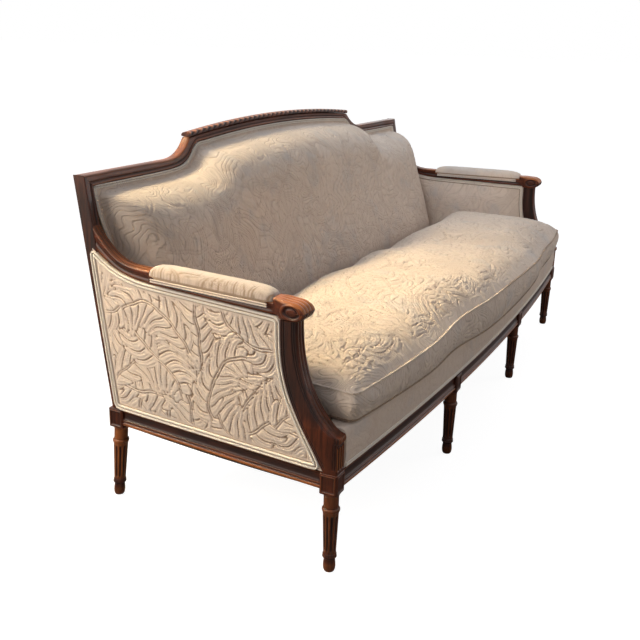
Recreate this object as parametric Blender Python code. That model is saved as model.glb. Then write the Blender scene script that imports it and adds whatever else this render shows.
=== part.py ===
"""A long French sofa with a bowed front, a stepped crest and scrolled arms.

Metres, +Z up. X runs along the sofa, Y from front to back. The working origin is on the floor midway
between the front corner legs, and a parent empty moves the whole sofa so that its box is centred.
Left is -X and right is +X, as seen from the front.
"""
import math

import bmesh
import bpy
from mathutils import Vector

# Plan of the legs
FRONT_LEG_X = 1.084
MID_LEG_X = 0.357
REAR_LEG_X = 1.026
LEG_ROW_DEPTH = 0.636
BOW_RISE = 0.047
REAR_LEG_RAKE = 0.0165

# Turned legs and their square blocks
LEG_HEIGHT = 0.203
BLOCK_SIDE = 0.044
BLOCK_HEIGHT = 0.052
BLOCK_PANEL_MARGIN = 0.006
BLOCK_PANEL_DEPTH = 0.0015
FOOT_HEIGHT = 0.034
FOOT_RADIUS = 0.0136
SHAFT_LOW_RADIUS = 0.0150
SHAFT_HIGH_RADIUS = 0.0186
LOW_RING_RADIUS = 0.0170
HIGH_RING_RADIUS = 0.0210
RING_HEIGHT = 0.0078
NECK_HEIGHT = 0.0385
NECK_RADIUS = 0.0178
FLUTE_DEPTH = 0.0028
FLUTE_STOP = 0.007
FOOT_EASE = 0.0014
RING_EASE = 0.004
NECK_FLARE = 0.003
NECK_FLARE_HEIGHT = 0.012
SIDE_SEGMENTS = 5

# Seat frame
RAIL_HEIGHT = 0.044
RAIL_THICKNESS = 0.036
RAIL_SETBACK = 0.003
RAIL_MOULD_DEPTH = 0.0062
BRACE_WIDTH = 0.034
BRACE_HEIGHT = 0.030
BRACE_SHOULDER = 0.060
BRACE_DROP = 0.004
GLUE_BLOCK_REACH = 0.085
GLUE_BLOCK_HEIGHT = 0.034
TENON_LENGTH = 0.014
TENON_THICKNESS = 0.011
TENON_HEIGHT = 0.028
DOWEL_SIDE = 0.009
DOWEL_LENGTH = 0.011
TACKING_MARGIN = 0.010

# Back frame
BACK_RAKE = 0.18
POST_DEPTH = 0.036
POST_WIDTH = 0.030
POST_INSET = 0.007
POST_BEAD = 0.004
POST_LEAN = 0.0197
SHOULDER_TOP = 0.8433
SHOULDER_HEIGHT = 0.030
CREST_SETBACK = 0.006
CREST_DEPTH = 0.030
CREST_EASE = 0.005
CREST_BEAD = 0.008
CREST_GROOVE = 0.0035
CREST_TURN = 0.062
CREST_FALL = 0.074
RAISED_HALF = 0.542
RAISED_END_TOP = 0.8942
RAISED_ARCH = 0.025
RAISED_HEIGHT = 0.0214
SWEEP_LENGTH = 0.13
CAP_HEIGHT = 0.0135
CAP_PROUD = 0.003
CAP_LOBES = 36
CAP_LOBE_DEPTH = 0.0022
CAP_LOBE_SLANT = 0.006
LOWER_RAIL_RISE = 0.0124
LOWER_RAIL_HEIGHT = 0.040
INNER_FRAME_DEPTH = 0.0185
STAY_WIDTH = 0.035
BACK_BAND_REACH = 0.12

# Arms
ARM_FLARE = 0.0012
ARM_LEVEL = 0.615
ARM_HALF = 0.020
ARM_EASE = 0.005
ARM_GROOVE = 0.0022
SCROLL_Y = 0.103
SCROLL_DROP = 0.008
SCROLL_HALF = 0.0275
SCROLL_LENGTH_RADIUS = 0.033
SCROLL_HEIGHT_RADIUS = 0.030
ARM_TOP_RISE = 0.023
ARM_PAD_SINK = 0.011
ARM_PAD_FRONT = 0.154
ARM_PAD_TO_POST = 0.1648
ARM_PAD_HALF = 0.0245
ARM_PAD_HEIGHT = 0.031
ARM_SWEEP_LEAD = 0.015
ARM_SWEEP_RISE = 0.140
ARM_UNDER_DROP = 0.010
ARM_UNDER_SLOPE = 0.045
ARM_UNDER_LIFT = 0.030
ARM_LIFT_LEAD = 0.05
ARM_LIFT_LENGTH = 0.18
SUPPORT_BASE_HEIGHT = 0.090
SUPPORT_CURL = 0.004
SUPPORT_CURL_HEIGHT = 0.016
SUPPORT_FLUTE_STOP = 0.005
SUPPORT_TOP_FRONT = 0.092
SUPPORT_TOP_REAR = 0.138
SUPPORT_BASE_REAR = 0.028
SUPPORT_FLUTE = 0.003

# Upholstery
BAND_THICKNESS = 0.002
DECK_HEIGHT = 0.095
DECK_ROUND = 0.010
DECK_SETBACK = 0.002
DECK_SWELL = 0.003
LINING_THICKNESS = 0.0024
INSIDE_ARM_EDGE = 0.016
INSIDE_ARM_CROWN = 0.022
OUTSIDE_ARM_FROM = 0.010
OUTSIDE_ARM_EDGE = 0.0205
OUTSIDE_ARM_CROWN = 0.003
OUTSIDE_ARM_ON_POST = 0.020
OUTSIDE_BACK_THICKNESS = 0.004
BACK_PAD_SEAT = 0.010
BACK_PAD_EDGE = 0.006
BACK_PAD_MARGIN = 0.018
BACK_PAD_ROLL = 0.078
BACK_PAD_LOW = 0.180
BACK_PAD_HIGH = 0.142
CUSHION_FRONT_GAP = 0.0263
CUSHION_SIDE_GAP = 0.007
CUSHION_REAR_GAP = 0.0306
CUSHION_CORNER_Y = -0.030
CUSHION_BOW = 0.080
CUSHION_FRONT_RADIUS = 0.050
CUSHION_REAR_RADIUS = 0.030
CUSHION_LOW_WELT = 0.010
CUSHION_BOXING = 0.070
CUSHION_CROWN = 0.060
CUSHION_TUCK = 0.004
CUSHION_BASE_EASE = 0.028
CUSHION_CORE_INSET = 0.160
DUST_THICKNESS = 0.0012

# Gap kept between pieces that touch, and how deep a joined shape is sunk in its own piece
FIT = 0.0003
PANEL_GAP = 0.0006
PANEL_TOP_GAP = 0.0012
SINK = 0.004
CUT_CLEAR = 0.020

RAIL_TOP = LEG_HEIGHT + BLOCK_HEIGHT
RAIL_BASE = RAIL_TOP - RAIL_HEIGHT
RAIL_FACE = BLOCK_SIDE / 2 - RAIL_SETBACK
RAIL_MIDDLE = RAIL_FACE - RAIL_THICKNESS / 2
STUFFING_BASE = RAIL_TOP + BAND_THICKNESS + 2 * FIT
INNER_FRAME_SETBACK = BACK_PAD_SEAT + BAND_THICKNESS + 2 * FIT
DECK_TOP = STUFFING_BASE + DECK_HEIGHT
LOWER_RAIL_BASE = DECK_TOP + LOWER_RAIL_RISE
CREST_HALF_WIDTH = REAR_LEG_X + BLOCK_SIDE / 2 - POST_INSET - POST_LEAN
ARM_PLAN_FRONT = FRONT_LEG_X + ARM_FLARE
ARM_TOP = ARM_LEVEL + ARM_TOP_RISE
ARM_PAD_SEAT = ARM_TOP - ARM_PAD_SINK
ARM_UNDER_FRONT = ARM_LEVEL - ARM_UNDER_DROP
ARM_SWEEP_TOP = ARM_LEVEL + ARM_SWEEP_RISE
SCROLL_Z = ARM_LEVEL - SCROLL_DROP
SUPPORT_TOP = SCROLL_Z - SCROLL_HEIGHT_RADIUS - FIT
BACK_FOOT = LEG_ROW_DEPTH + BLOCK_SIDE / 2 - POST_INSET - POST_DEPTH
ARM_PAD_REAR = BACK_FOOT + BACK_RAKE * (ARM_LEVEL - RAIL_TOP) - ARM_PAD_TO_POST
ARM_SWEEP_START = ARM_PAD_REAR + ARM_SWEEP_LEAD
SIDES =(("left", -1), ("right", 1))
ALONG_ARM = (0.0, 0.06, 0.2, 0.4, 0.6, 0.7, 0.8, 0.87, 0.94, 1.0)
UP_ARM = (0.0, 0.08, 0.25, 0.42, 0.6, 0.78, 0.93, 1.0)


def mix(low, high, share):
    return low + (high - low) * share


def smooth(value, start, end):
    """Rise from 0 at start to 1 at end with level ends."""
    share = min(max((value - start) / (end - start), 0.0), 1.0)
    return share * share * (3 - 2 * share)


# Lines that several pieces share

def bow(x):
    """Y of the bowed line through the front legs."""
    return -BOW_RISE * (1 - (x / FRONT_LEG_X) ** 2)


def side_line(y):
    """X of the side rail's middle, straight from the front leg to the rear leg."""
    return mix(FRONT_LEG_X, REAR_LEG_X, y / LEG_ROW_DEPTH)


def back_plane(z):
    """Y of the front face of the raked back frame."""
    return BACK_FOOT + BACK_RAKE * (z - RAIL_TOP)


def post_outer(z):
    """X of the post's outer face, which leans in a little towards the crest."""
    foot = REAR_LEG_X + BLOCK_SIDE / 2 - POST_INSET
    return mix(foot, CREST_HALF_WIDTH, (z - RAIL_TOP) / (SHOULDER_TOP - RAIL_TOP))


def post_inner(z):
    return post_outer(z) - POST_WIDTH


def arm_line(y):
    """X of the arm's middle in plan, straight from the scroll to the middle of the post."""
    rear = post_outer(ARM_SWEEP_TOP) - POST_WIDTH / 2
    return mix(ARM_PLAN_FRONT, rear, y / back_plane(ARM_SWEEP_TOP))


def arm_plane(y, z):
    """X of the middle of the arm frame, ruled from the side rail up to the arm."""
    return mix(side_line(y), arm_line(y), (z - RAIL_TOP) / (ARM_LEVEL - RAIL_TOP))


def crest_low(x):
    """Z of the crest's lower edge: an arch in the middle that drops in an S to the shoulders."""
    shoulder = SHOULDER_TOP - SHOULDER_HEIGHT
    turn = RAISED_HALF - CREST_TURN
    middle = RAISED_END_TOP + RAISED_ARCH - RAISED_HEIGHT
    turn_z = middle - RAISED_ARCH * (turn / RAISED_HALF) ** 2
    if abs(x) < turn:
        return middle - RAISED_ARCH * (x / RAISED_HALF) ** 2
    fall = (abs(x) - turn) / CREST_FALL
    return shoulder + (turn_z - shoulder) / (1 + fall ** 3.6)


def crest_high(x):
    """Z of the crest's upper edge: level shoulders, a concave sweep up, then the arched seat of the cap."""
    if abs(x) <= RAISED_HALF:
        return RAISED_END_TOP + RAISED_ARCH * (1 - (x / RAISED_HALF) ** 2)
    share = min((abs(x) - RAISED_HALF) / SWEEP_LENGTH, 1.0)
    return SHOULDER_TOP + (RAISED_END_TOP - SHOULDER_TOP) * (1 - share) ** 2.6


def support_front(z):
    """Y of the arm support's front edge above its base, a concave sweep back to the scroll."""
    foot = RAIL_TOP + SUPPORT_BASE_HEIGHT
    share = min(max((z - foot) / (SUPPORT_TOP - foot), 0.0), 1.0)
    start = -BLOCK_SIDE / 2 + SUPPORT_CURL
    return start + (SUPPORT_TOP_FRONT - start) * (1 - (1 - share) ** 2.3) ** 0.75


def arm_under(y):
    """Z of the arm's underside: nearly level, then lifting towards the post."""
    lift = max(0.0, (y - ARM_SWEEP_START + ARM_LIFT_LEAD) / ARM_LIFT_LENGTH)
    return ARM_UNDER_FRONT + ARM_UNDER_SLOPE * (y - SCROLL_Y) + ARM_UNDER_LIFT * lift ** 2


def panel_heights():
    """Heights of the arm panels' rows where they meet the arm support."""
    return [mix(STUFFING_BASE, arm_under(SUPPORT_TOP_REAR) - PANEL_TOP_GAP, share) for share in UP_ARM]


def support_rear(z):
    """Y of the arm support's rear edge: a swelling curve, straight between the rows of the fabric panels."""
    knots = []
    for height in panel_heights():
        share = min(max((height - STUFFING_BASE) / (SUPPORT_TOP - STUFFING_BASE), 0.0), 1.0)
        swell = math.sin(share * math.pi / 2)
        knots.append((height, mix(SUPPORT_BASE_REAR, SUPPORT_TOP_REAR, swell)))
    for (z0, y0), (z1, y1) in zip(knots, knots[1:]):
        if z <= z1:
            return mix(y0, y1, (z - z0) / (z1 - z0))
    return knots[-1][1]


def arm_over(y):
    """Z of the arm's top: level, then a concave sweep up the front of the post."""
    end = back_plane(ARM_SWEEP_TOP)
    share = min(max((y - ARM_SWEEP_START) / (end - ARM_SWEEP_START), 0.0), 1.0)
    return ARM_TOP + (ARM_SWEEP_TOP - ARM_TOP) * share ** 3.4


# Mesh helpers

for old in list(bpy.data.objects):
    bpy.data.objects.remove(old, do_unlink=True)

origin = bpy.data.objects.new("sofa", None)
bpy.context.scene.collection.objects.link(origin)

FINISHES = {
    "stained_wood": ((0.085, 0.030, 0.017), 0.32),
    "bare_wood": ((0.42, 0.29, 0.17), 0.60),
    "cream_fabric": ((0.72, 0.62, 0.47), 0.90),
    "jute": ((0.36, 0.26, 0.15), 0.92),
    "hessian": ((0.45, 0.34, 0.21), 0.95),
    "black_lining": ((0.030, 0.030, 0.032), 0.92),
}


def material(name):
    found = bpy.data.materials.get(name)
    if found:
        return found
    colour, roughness = FINISHES[name]
    made = bpy.data.materials.new(name)
    made.use_nodes = True
    shader = made.node_tree.nodes["Principled BSDF"]
    shader.inputs["Base Color"].default_value = (*colour, 1.0)
    shader.inputs["Roughness"].default_value = roughness
    shader.inputs["Metallic"].default_value = 0.0
    return made


def place(name, bm, finish):
    """Turn a closed bmesh into a named object under the sofa's empty."""
    bmesh.ops.recalc_face_normals(bm, faces=bm.faces)
    mesh = bpy.data.meshes.new(name)
    bm.to_mesh(mesh)
    bm.free()
    piece = bpy.data.objects.new(name, mesh)
    piece.parent = origin
    bpy.context.scene.collection.objects.link(piece)
    if finish:
        mesh.materials.append(material(finish))
        mesh.shade_smooth()
        mesh.set_sharp_from_angle(angle=math.radians(28))
    return piece


def skin(bm, rings):
    """Join equal rings of points into a tube with both ends closed, and give back its loops of vertices."""
    loops = [[bm.verts.new(point) for point in ring] for ring in rings]
    for low, high in zip(loops, loops[1:]):
        for i, vert in enumerate(low):
            j = (i + 1) % len(low)
            bm.faces.new((vert, low[j], high[j], high[i]))
    bm.faces.new(list(reversed(loops[0])))
    bm.faces.new(loops[-1])
    return loops


def loft(name, rings, finish):
    bm = bmesh.new()
    skin(bm, rings)
    return place(name, bm, finish)


def slab(name, front, back, finish):
    """Close the space between two equal grids of points, given as rows."""
    bm = bmesh.new()
    sheets = [[[bm.verts.new(point) for point in row] for row in grid] for grid in (front, back)]
    rows = len(front)
    columns = len(front[0])
    for sheet in sheets:
        for j in range(rows - 1):
            for i in range(columns - 1):
                bm.faces.new((sheet[j][i], sheet[j][i + 1], sheet[j + 1][i + 1], sheet[j + 1][i]))
    rim = [(0, i) for i in range(columns)]
    rim += [(j, columns - 1) for j in range(1, rows)]
    rim += [(rows - 1, i) for i in range(columns - 2, -1, -1)]
    rim += [(j, 0) for j in range(rows - 2, 0, -1)]
    for (j, i), (q, p) in zip(rim, rim[1:] + rim[:1]):
        bm.faces.new((sheets[0][j][i], sheets[0][q][p], sheets[1][q][p], sheets[1][j][i]))
    return place(name, bm, finish)


def brick(centre, size, grow=0.0):
    """A box used to add or cut a tenon."""
    bm = bmesh.new()
    bmesh.ops.create_cube(bm, size=1.0)
    bmesh.ops.scale(bm, vec=[side + 2 * grow for side in size], verts=bm.verts)
    bmesh.ops.translate(bm, vec=centre, verts=bm.verts)
    return place("tool", bm, None)


def combine(piece, tool, operation):
    """Apply one Boolean to a piece and remove the tool."""
    change = piece.modifiers.new(operation.lower(), "BOOLEAN")
    change.object = tool
    change.operation = operation
    change.solver = "EXACT"
    bpy.context.view_layer.update()
    depsgraph = bpy.context.evaluated_depsgraph_get()
    result = bpy.data.meshes.new_from_object(piece.evaluated_get(depsgraph))
    piece.modifiers.clear()
    piece.data = result
    bpy.data.objects.remove(tool, do_unlink=True)


def tenon(male, female, centre, size):
    """Add a tenon to one piece and cut its mortise, a fit larger all round, in the other."""
    combine(male, brick(centre, size), "UNION")
    combine(female, brick(centre, size, FIT), "DIFFERENCE")


def square_ring(x, y, half_x, half_y, z):
    """Points round an upright rectangle's edge, from the front left corner, SIDE_SEGMENTS to a side."""
    corners = [(-half_x, -half_y), (half_x, -half_y), (half_x, half_y), (-half_x, half_y)]
    points = []
    for (x0, y0), (x1, y1) in zip(corners, corners[1:] + corners[:1]):
        for step in range(SIDE_SEGMENTS):
            share = step / SIDE_SEGMENTS
            points.append((x + mix(x0, x1, share), y + mix(y0, y1, share), z))
    return points


def round_ring(x, y, radius, flute, z):
    """Points round a turned section that line up with square_ring, every second one cut in as a flute."""
    count = 4 * SIDE_SEGMENTS
    points = []
    for step in range(count):
        angle = math.radians(225) + 2 * math.pi * step / count
        reach = radius - (flute if step % 2 else 0.0)
        points.append((x + reach * math.cos(angle), y + reach * math.sin(angle), z))
    return points


# Turned legs

def leg_profile():
    """Height, radius and flute depth up the leg: foot, ring, fluted taper, ring and neck."""
    low_ring = FOOT_HEIGHT + RING_EASE
    shaft_low = low_ring + RING_HEIGHT + RING_EASE
    high_ring = LEG_HEIGHT - NECK_HEIGHT - RING_HEIGHT
    shaft_high = high_ring - RING_EASE
    return [
        (0.0, FOOT_RADIUS - FOOT_EASE, 0.0),
        (2 * FOOT_EASE, FOOT_RADIUS, 0.0),
        (FOOT_HEIGHT, FOOT_RADIUS, 0.0),
        (low_ring, LOW_RING_RADIUS, 0.0),
        (low_ring + RING_HEIGHT, LOW_RING_RADIUS, 0.0),
        (shaft_low, SHAFT_LOW_RADIUS, 0.0),
        (shaft_low + FLUTE_STOP, SHAFT_LOW_RADIUS, FLUTE_DEPTH),
        (shaft_high - FLUTE_STOP, SHAFT_HIGH_RADIUS, FLUTE_DEPTH),
        (shaft_high, SHAFT_HIGH_RADIUS, 0.0),
        (high_ring, HIGH_RING_RADIUS, 0.0),
        (high_ring + RING_HEIGHT, HIGH_RING_RADIUS, 0.0),
        (high_ring + RING_HEIGHT + RING_EASE, NECK_RADIUS, 0.0),
        (LEG_HEIGHT - NECK_FLARE_HEIGHT, NECK_RADIUS, 0.0),
        (LEG_HEIGHT, NECK_RADIUS + NECK_FLARE, 0.0),
    ]


def leg(name, x, y, panelled, rake=0.0, above=()):
    """A turned leg under a square block, with framed panels sunk in the block's shown sides."""
    rings = []
    for height, radius, flute in leg_profile():
        rings.append(round_ring(x, y + rake * (1 - height / LEG_HEIGHT), radius, flute, height))
    half = BLOCK_SIDE / 2
    block_at = len(rings)
    rings.append(square_ring(x, y, half, half, LEG_HEIGHT))
    rings.append(square_ring(x, y, half, half, RAIL_TOP))
    rings.extend(above)
    bm = bmesh.new()
    loops = skin(bm, rings)
    for side in panelled:
        first = side * SIDE_SEGMENTS
        faces = []
        for step in range(first, first + SIDE_SEGMENTS):
            low = loops[block_at]
            high = loops[block_at + 1]
            after = (step + 1) % len(low)
            corners = {low[step], low[after], high[step], high[after]}
            faces += [face for face in low[step].link_faces if set(face.verts) == corners]
        panel = bmesh.ops.dissolve_faces(bm, faces=faces)["region"]
        bmesh.ops.recalc_face_normals(bm, faces=bm.faces)
        bmesh.ops.inset_region(bm, faces=panel, thickness=BLOCK_PANEL_MARGIN, depth=-BLOCK_PANEL_DEPTH)
    return place(name, bm, "stained_wood")


FRONT_SIDE, RIGHT_SIDE, BACK_SIDE, LEFT_SIDE = range(4)
pieces = {}
for word, sign in SIDES:
    outer_side = RIGHT_SIDE if sign > 0 else LEFT_SIDE
    corner = f"front_leg_{word}"
    pieces[corner] = leg(corner, sign * FRONT_LEG_X, 0.0, (FRONT_SIDE, outer_side))
    middle = f"front_mid_leg_{word}"
    pieces[middle] = leg(middle, sign * MID_LEG_X, bow(MID_LEG_X), (FRONT_SIDE,))
    rear = f"rear_mid_leg_{word}"
    pieces[rear] = leg(rear, sign * MID_LEG_X, LEG_ROW_DEPTH, (BACK_SIDE,), REAR_LEG_RAKE)

    post_rings = []
    for z in (RAIL_TOP, SHOULDER_TOP - SHOULDER_HEIGHT - FIT):
        centre_x = sign * (post_outer(z) - POST_WIDTH / 2)
        centre_y = back_plane(z) + POST_DEPTH / 2
        post_rings.append(square_ring(centre_x, centre_y, POST_WIDTH / 2, POST_DEPTH / 2, z))
    for ring in post_rings:
        for step in (2, 3):
            ring[step] = (ring[step][0], ring[step][1] + POST_BEAD, ring[step][2])
    post = f"rear_post_{word}"
    shown = (outer_side, BACK_SIDE)
    pieces[post] = leg(post, sign * REAR_LEG_X, LEG_ROW_DEPTH, shown, REAR_LEG_RAKE, post_rings)


# Moulded seat rails, tenoned into the blocks

def rail_profile():
    """Outward offset from the block's line and height: two beads low down, a hollow and a tacking edge."""
    outline = [
        (0.65, 0.0), (0.06, 0.07), (0.0, 0.14), (0.06, 0.20), (0.58, 0.25), (0.16, 0.31), (0.16, 0.39),
        (0.73, 0.43), (1.0, 0.59), (1.0, 0.84), (0.48, 0.90), (0.48, 1.0),
    ]
    shaped = [(-RAIL_MOULD_DEPTH * depth, RAIL_HEIGHT * up) for depth, up in outline]
    return shaped + [(-RAIL_THICKNESS, RAIL_HEIGHT), (-RAIL_THICKNESS, 0.0)]


def front_rail(name, x0, x1, left_leg, right_leg):
    """A length of the bowed front rail between two blocks."""
    stations = 7
    rings = []
    for step in range(stations):
        x = mix(x0, x1, step / (stations - 1))
        rings.append([(x, bow(x) - RAIL_FACE - out, RAIL_BASE + up) for out, up in rail_profile()])
    rail = loft(name, rings, "stained_wood")
    for x, towards, leg_name in ((x0, -1, left_leg), (x1, 1, right_leg)):
        reach = TENON_LENGTH + SINK
        centre = (x + towards * (reach / 2 - SINK), bow(x) - RAIL_MIDDLE, RAIL_BASE + RAIL_HEIGHT / 2)
        tenon(rail, pieces[leg_name], centre, (reach, TENON_THICKNESS, TENON_HEIGHT))
    pieces[name] = rail


def rear_rail(name, x0, x1, left_leg, right_leg):
    """A straight length of the rear rail, moulded on the outside like the others."""
    rings = []
    for x in (x0, x1):
        rings.append([(x, LEG_ROW_DEPTH + RAIL_FACE + out, RAIL_BASE + up) for out, up in rail_profile()])
    rail = loft(name, rings, "stained_wood")
    for x, towards, leg_name in ((x0, -1, left_leg), (x1, 1, right_leg)):
        reach = TENON_LENGTH + SINK
        centre = (x + towards * (reach / 2 - SINK), LEG_ROW_DEPTH + RAIL_MIDDLE, RAIL_BASE + RAIL_HEIGHT / 2)
        tenon(rail, pieces[leg_name], centre, (reach, TENON_THICKNESS, TENON_HEIGHT))
    pieces[name] = rail


def side_rail(word, sign):
    name = f"side_rail_{word}"
    y0 = BLOCK_SIDE / 2 + FIT
    y1 = LEG_ROW_DEPTH - BLOCK_SIDE / 2 - FIT
    rings = []
    for y in (y0, y1):
        face = side_line(y) + RAIL_FACE
        rings.append([(sign * (face + out), y, RAIL_BASE + up) for out, up in rail_profile()])
    rail = loft(name, rings, "stained_wood")
    for y, towards, leg_name in ((y0, -1, f"front_leg_{word}"), (y1, 1, f"rear_post_{word}")):
        reach = TENON_LENGTH + SINK
        centre_x = sign * (side_line(y) + RAIL_MIDDLE)
        centre = (centre_x, y + towards * (reach / 2 - SINK), RAIL_BASE + RAIL_HEIGHT / 2)
        tenon(rail, pieces[leg_name], centre, (TENON_THICKNESS, reach, TENON_HEIGHT))
    pieces[name] = rail


block_end = BLOCK_SIDE / 2 + FIT
mid_inner = MID_LEG_X - block_end
mid_outer = MID_LEG_X + block_end
front_end = FRONT_LEG_X - block_end
rear_end = REAR_LEG_X - block_end
front_rail("front_rail_left", -front_end, -mid_outer, "front_leg_left", "front_mid_leg_left")
front_rail("front_rail_centre", -mid_inner, mid_inner, "front_mid_leg_left", "front_mid_leg_right")
front_rail("front_rail_right", mid_outer, front_end, "front_mid_leg_right", "front_leg_right")
rear_rail("rear_rail_left", -rear_end, -mid_outer, "rear_post_left", "rear_mid_leg_left")
rear_rail("rear_rail_centre", -mid_inner, mid_inner, "rear_mid_leg_left", "rear_mid_leg_right")
rear_rail("rear_rail_right", mid_outer, rear_end, "rear_mid_leg_right", "rear_post_right")
for word, sign in SIDES:
    side_rail(word, sign)


# Cross braces and corner blocks inside the seat frame

for word, sign in SIDES:
    y0 = bow(MID_LEG_X) + block_end
    y1 = LEG_ROW_DEPTH - block_end
    x = sign * MID_LEG_X
    z = RAIL_BASE + RAIL_HEIGHT / 2
    half = BRACE_WIDTH / 2
    rings = []
    waist = [(y0 + BRACE_SHOULDER, BRACE_DROP), (y1 - BRACE_SHOULDER, BRACE_DROP)]
    for y, drop in [(y0, 0.0)] + waist + [(y1, 0.0)]:
        top = z + BRACE_HEIGHT / 2 - drop
        base = z - BRACE_HEIGHT / 2
        rings.append([(x - half, y, base), (x + half, y, base), (x + half, y, top), (x - half, y, top)])
    brace = loft(f"seat_brace_{word}", rings, "bare_wood")
    for y, towards, leg_name in ((y0, -1, f"front_mid_leg_{word}"), (y1, 1, f"rear_mid_leg_{word}")):
        reach = TENON_LENGTH + SINK
        centre = (x, y + towards * (reach / 2 - SINK), z)
        tenon(brace, pieces[leg_name], centre, (TENON_THICKNESS, reach, BRACE_HEIGHT * 0.6))


def corner_block(name, sign, leg_y, inward):
    """A glue block across an inside corner, notched round the leg's block."""
    inner = RAIL_THICKNESS - RAIL_FACE + FIT
    leg_edge = BLOCK_SIDE / 2 + FIT
    front = inward > 0
    leg_x = side_line(leg_y)

    def rail_face_y(x):
        return bow(x) + inner if front else LEG_ROW_DEPTH - inner

    far_x = leg_x - GLUE_BLOCK_REACH
    near_x = leg_x - leg_edge
    near_y = leg_y + inward * leg_edge
    far_y = leg_y + inward * GLUE_BLOCK_REACH
    plan = [
        (far_x, rail_face_y(far_x)),
        (near_x, rail_face_y(near_x)),
        (near_x, near_y),
        (side_line(near_y) - inner, near_y),
        (side_line(far_y) - inner, far_y),
    ]
    base = RAIL_BASE + (RAIL_HEIGHT - GLUE_BLOCK_HEIGHT) / 2
    rings = [[(sign * x, y, z) for x, y in plan] for z in (base, base + GLUE_BLOCK_HEIGHT)]
    loft(name, rings, "bare_wood")


for word, sign in SIDES:
    corner_block(f"corner_block_front_{word}", sign, 0.0, 1)
    corner_block(f"corner_block_rear_{word}", sign, LEG_ROW_DEPTH, -1)


# Arm supports: fluted base on the corner block, then a reeded S up to the scroll

def support_ring(sign, z, front, rear, groove):
    """A level slice: plain sides and rear, and three grooves across the front."""
    centre = arm_plane(max(front, 0.0), z)
    half = ARM_HALF
    ring = [(centre - half, rear, z), (centre - half, front, z)]
    for step in range(1, 7):
        x = centre + half * (step / 3.5 - 1)
        ring.append((x, front + (groove if step in (1, 3, 5) else 0.0), z))
    ring += [(centre + half, front, z), (centre + half, rear, z)]
    return [(sign * x, y, height) for x, y, height in ring]


for word, sign in SIDES:
    foot = RAIL_TOP + FIT
    curl_base = RAIL_TOP + SUPPORT_BASE_HEIGHT - SUPPORT_CURL_HEIGHT
    base_front = -BLOCK_SIDE / 2 + FIT
    sections = [
        (foot, base_front, 0.0),
        (foot + SUPPORT_FLUTE_STOP, base_front, SUPPORT_FLUTE),
        (curl_base - 2 * SUPPORT_FLUTE_STOP, base_front, SUPPORT_FLUTE),
        (curl_base - SUPPORT_FLUTE_STOP, base_front, 0.0),
        (curl_base + 0.2 * SUPPORT_CURL_HEIGHT, base_front - SUPPORT_CURL, 0.0),
        (curl_base + 0.75 * SUPPORT_CURL_HEIGHT, base_front - SUPPORT_CURL, 0.0),
    ]
    sweep_base = RAIL_TOP + SUPPORT_BASE_HEIGHT
    for step in range(9):
        z = mix(sweep_base, SUPPORT_TOP, (step / 8) ** 1.5)
        sections.append((z, support_front(z), SUPPORT_FLUTE))
    rings = [support_ring(sign, z, front, support_rear(z), groove) for z, front, groove in sections]
    support = loft(f"arm_support_{word}", rings, "stained_wood")
    pieces[f"arm_support_{word}"] = support
    reach = DOWEL_LENGTH + SINK
    foot_x = sign * arm_plane(0.0, foot)
    centre = (foot_x, 0.0, foot - reach / 2 + SINK)
    tenon(support, pieces[f"front_leg_{word}"], centre, (DOWEL_SIDE, DOWEL_SIDE, reach))


# Arms: a moulded rail that sweeps up the post at the rear and ends in a scroll

def arm_ring(sign, y, low, high, half, on_post=False):
    """An upright slice of the arm with a grooved side and an eased top."""
    height = high - low
    outline = [
        (half - ARM_EASE, low),
        (half, low + 0.25 * height),
        (half - ARM_GROOVE, low + 0.5 * height),
        (half, low + 0.75 * height),
        (half - ARM_EASE, high),
    ]
    outline += [(-x, z) for x, z in reversed(outline)]
    points = []
    for x, z in outline:
        depth = back_plane(z) - FIT if on_post else y
        points.append((sign * (arm_line(depth) + x), depth, z))
    return points


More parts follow.
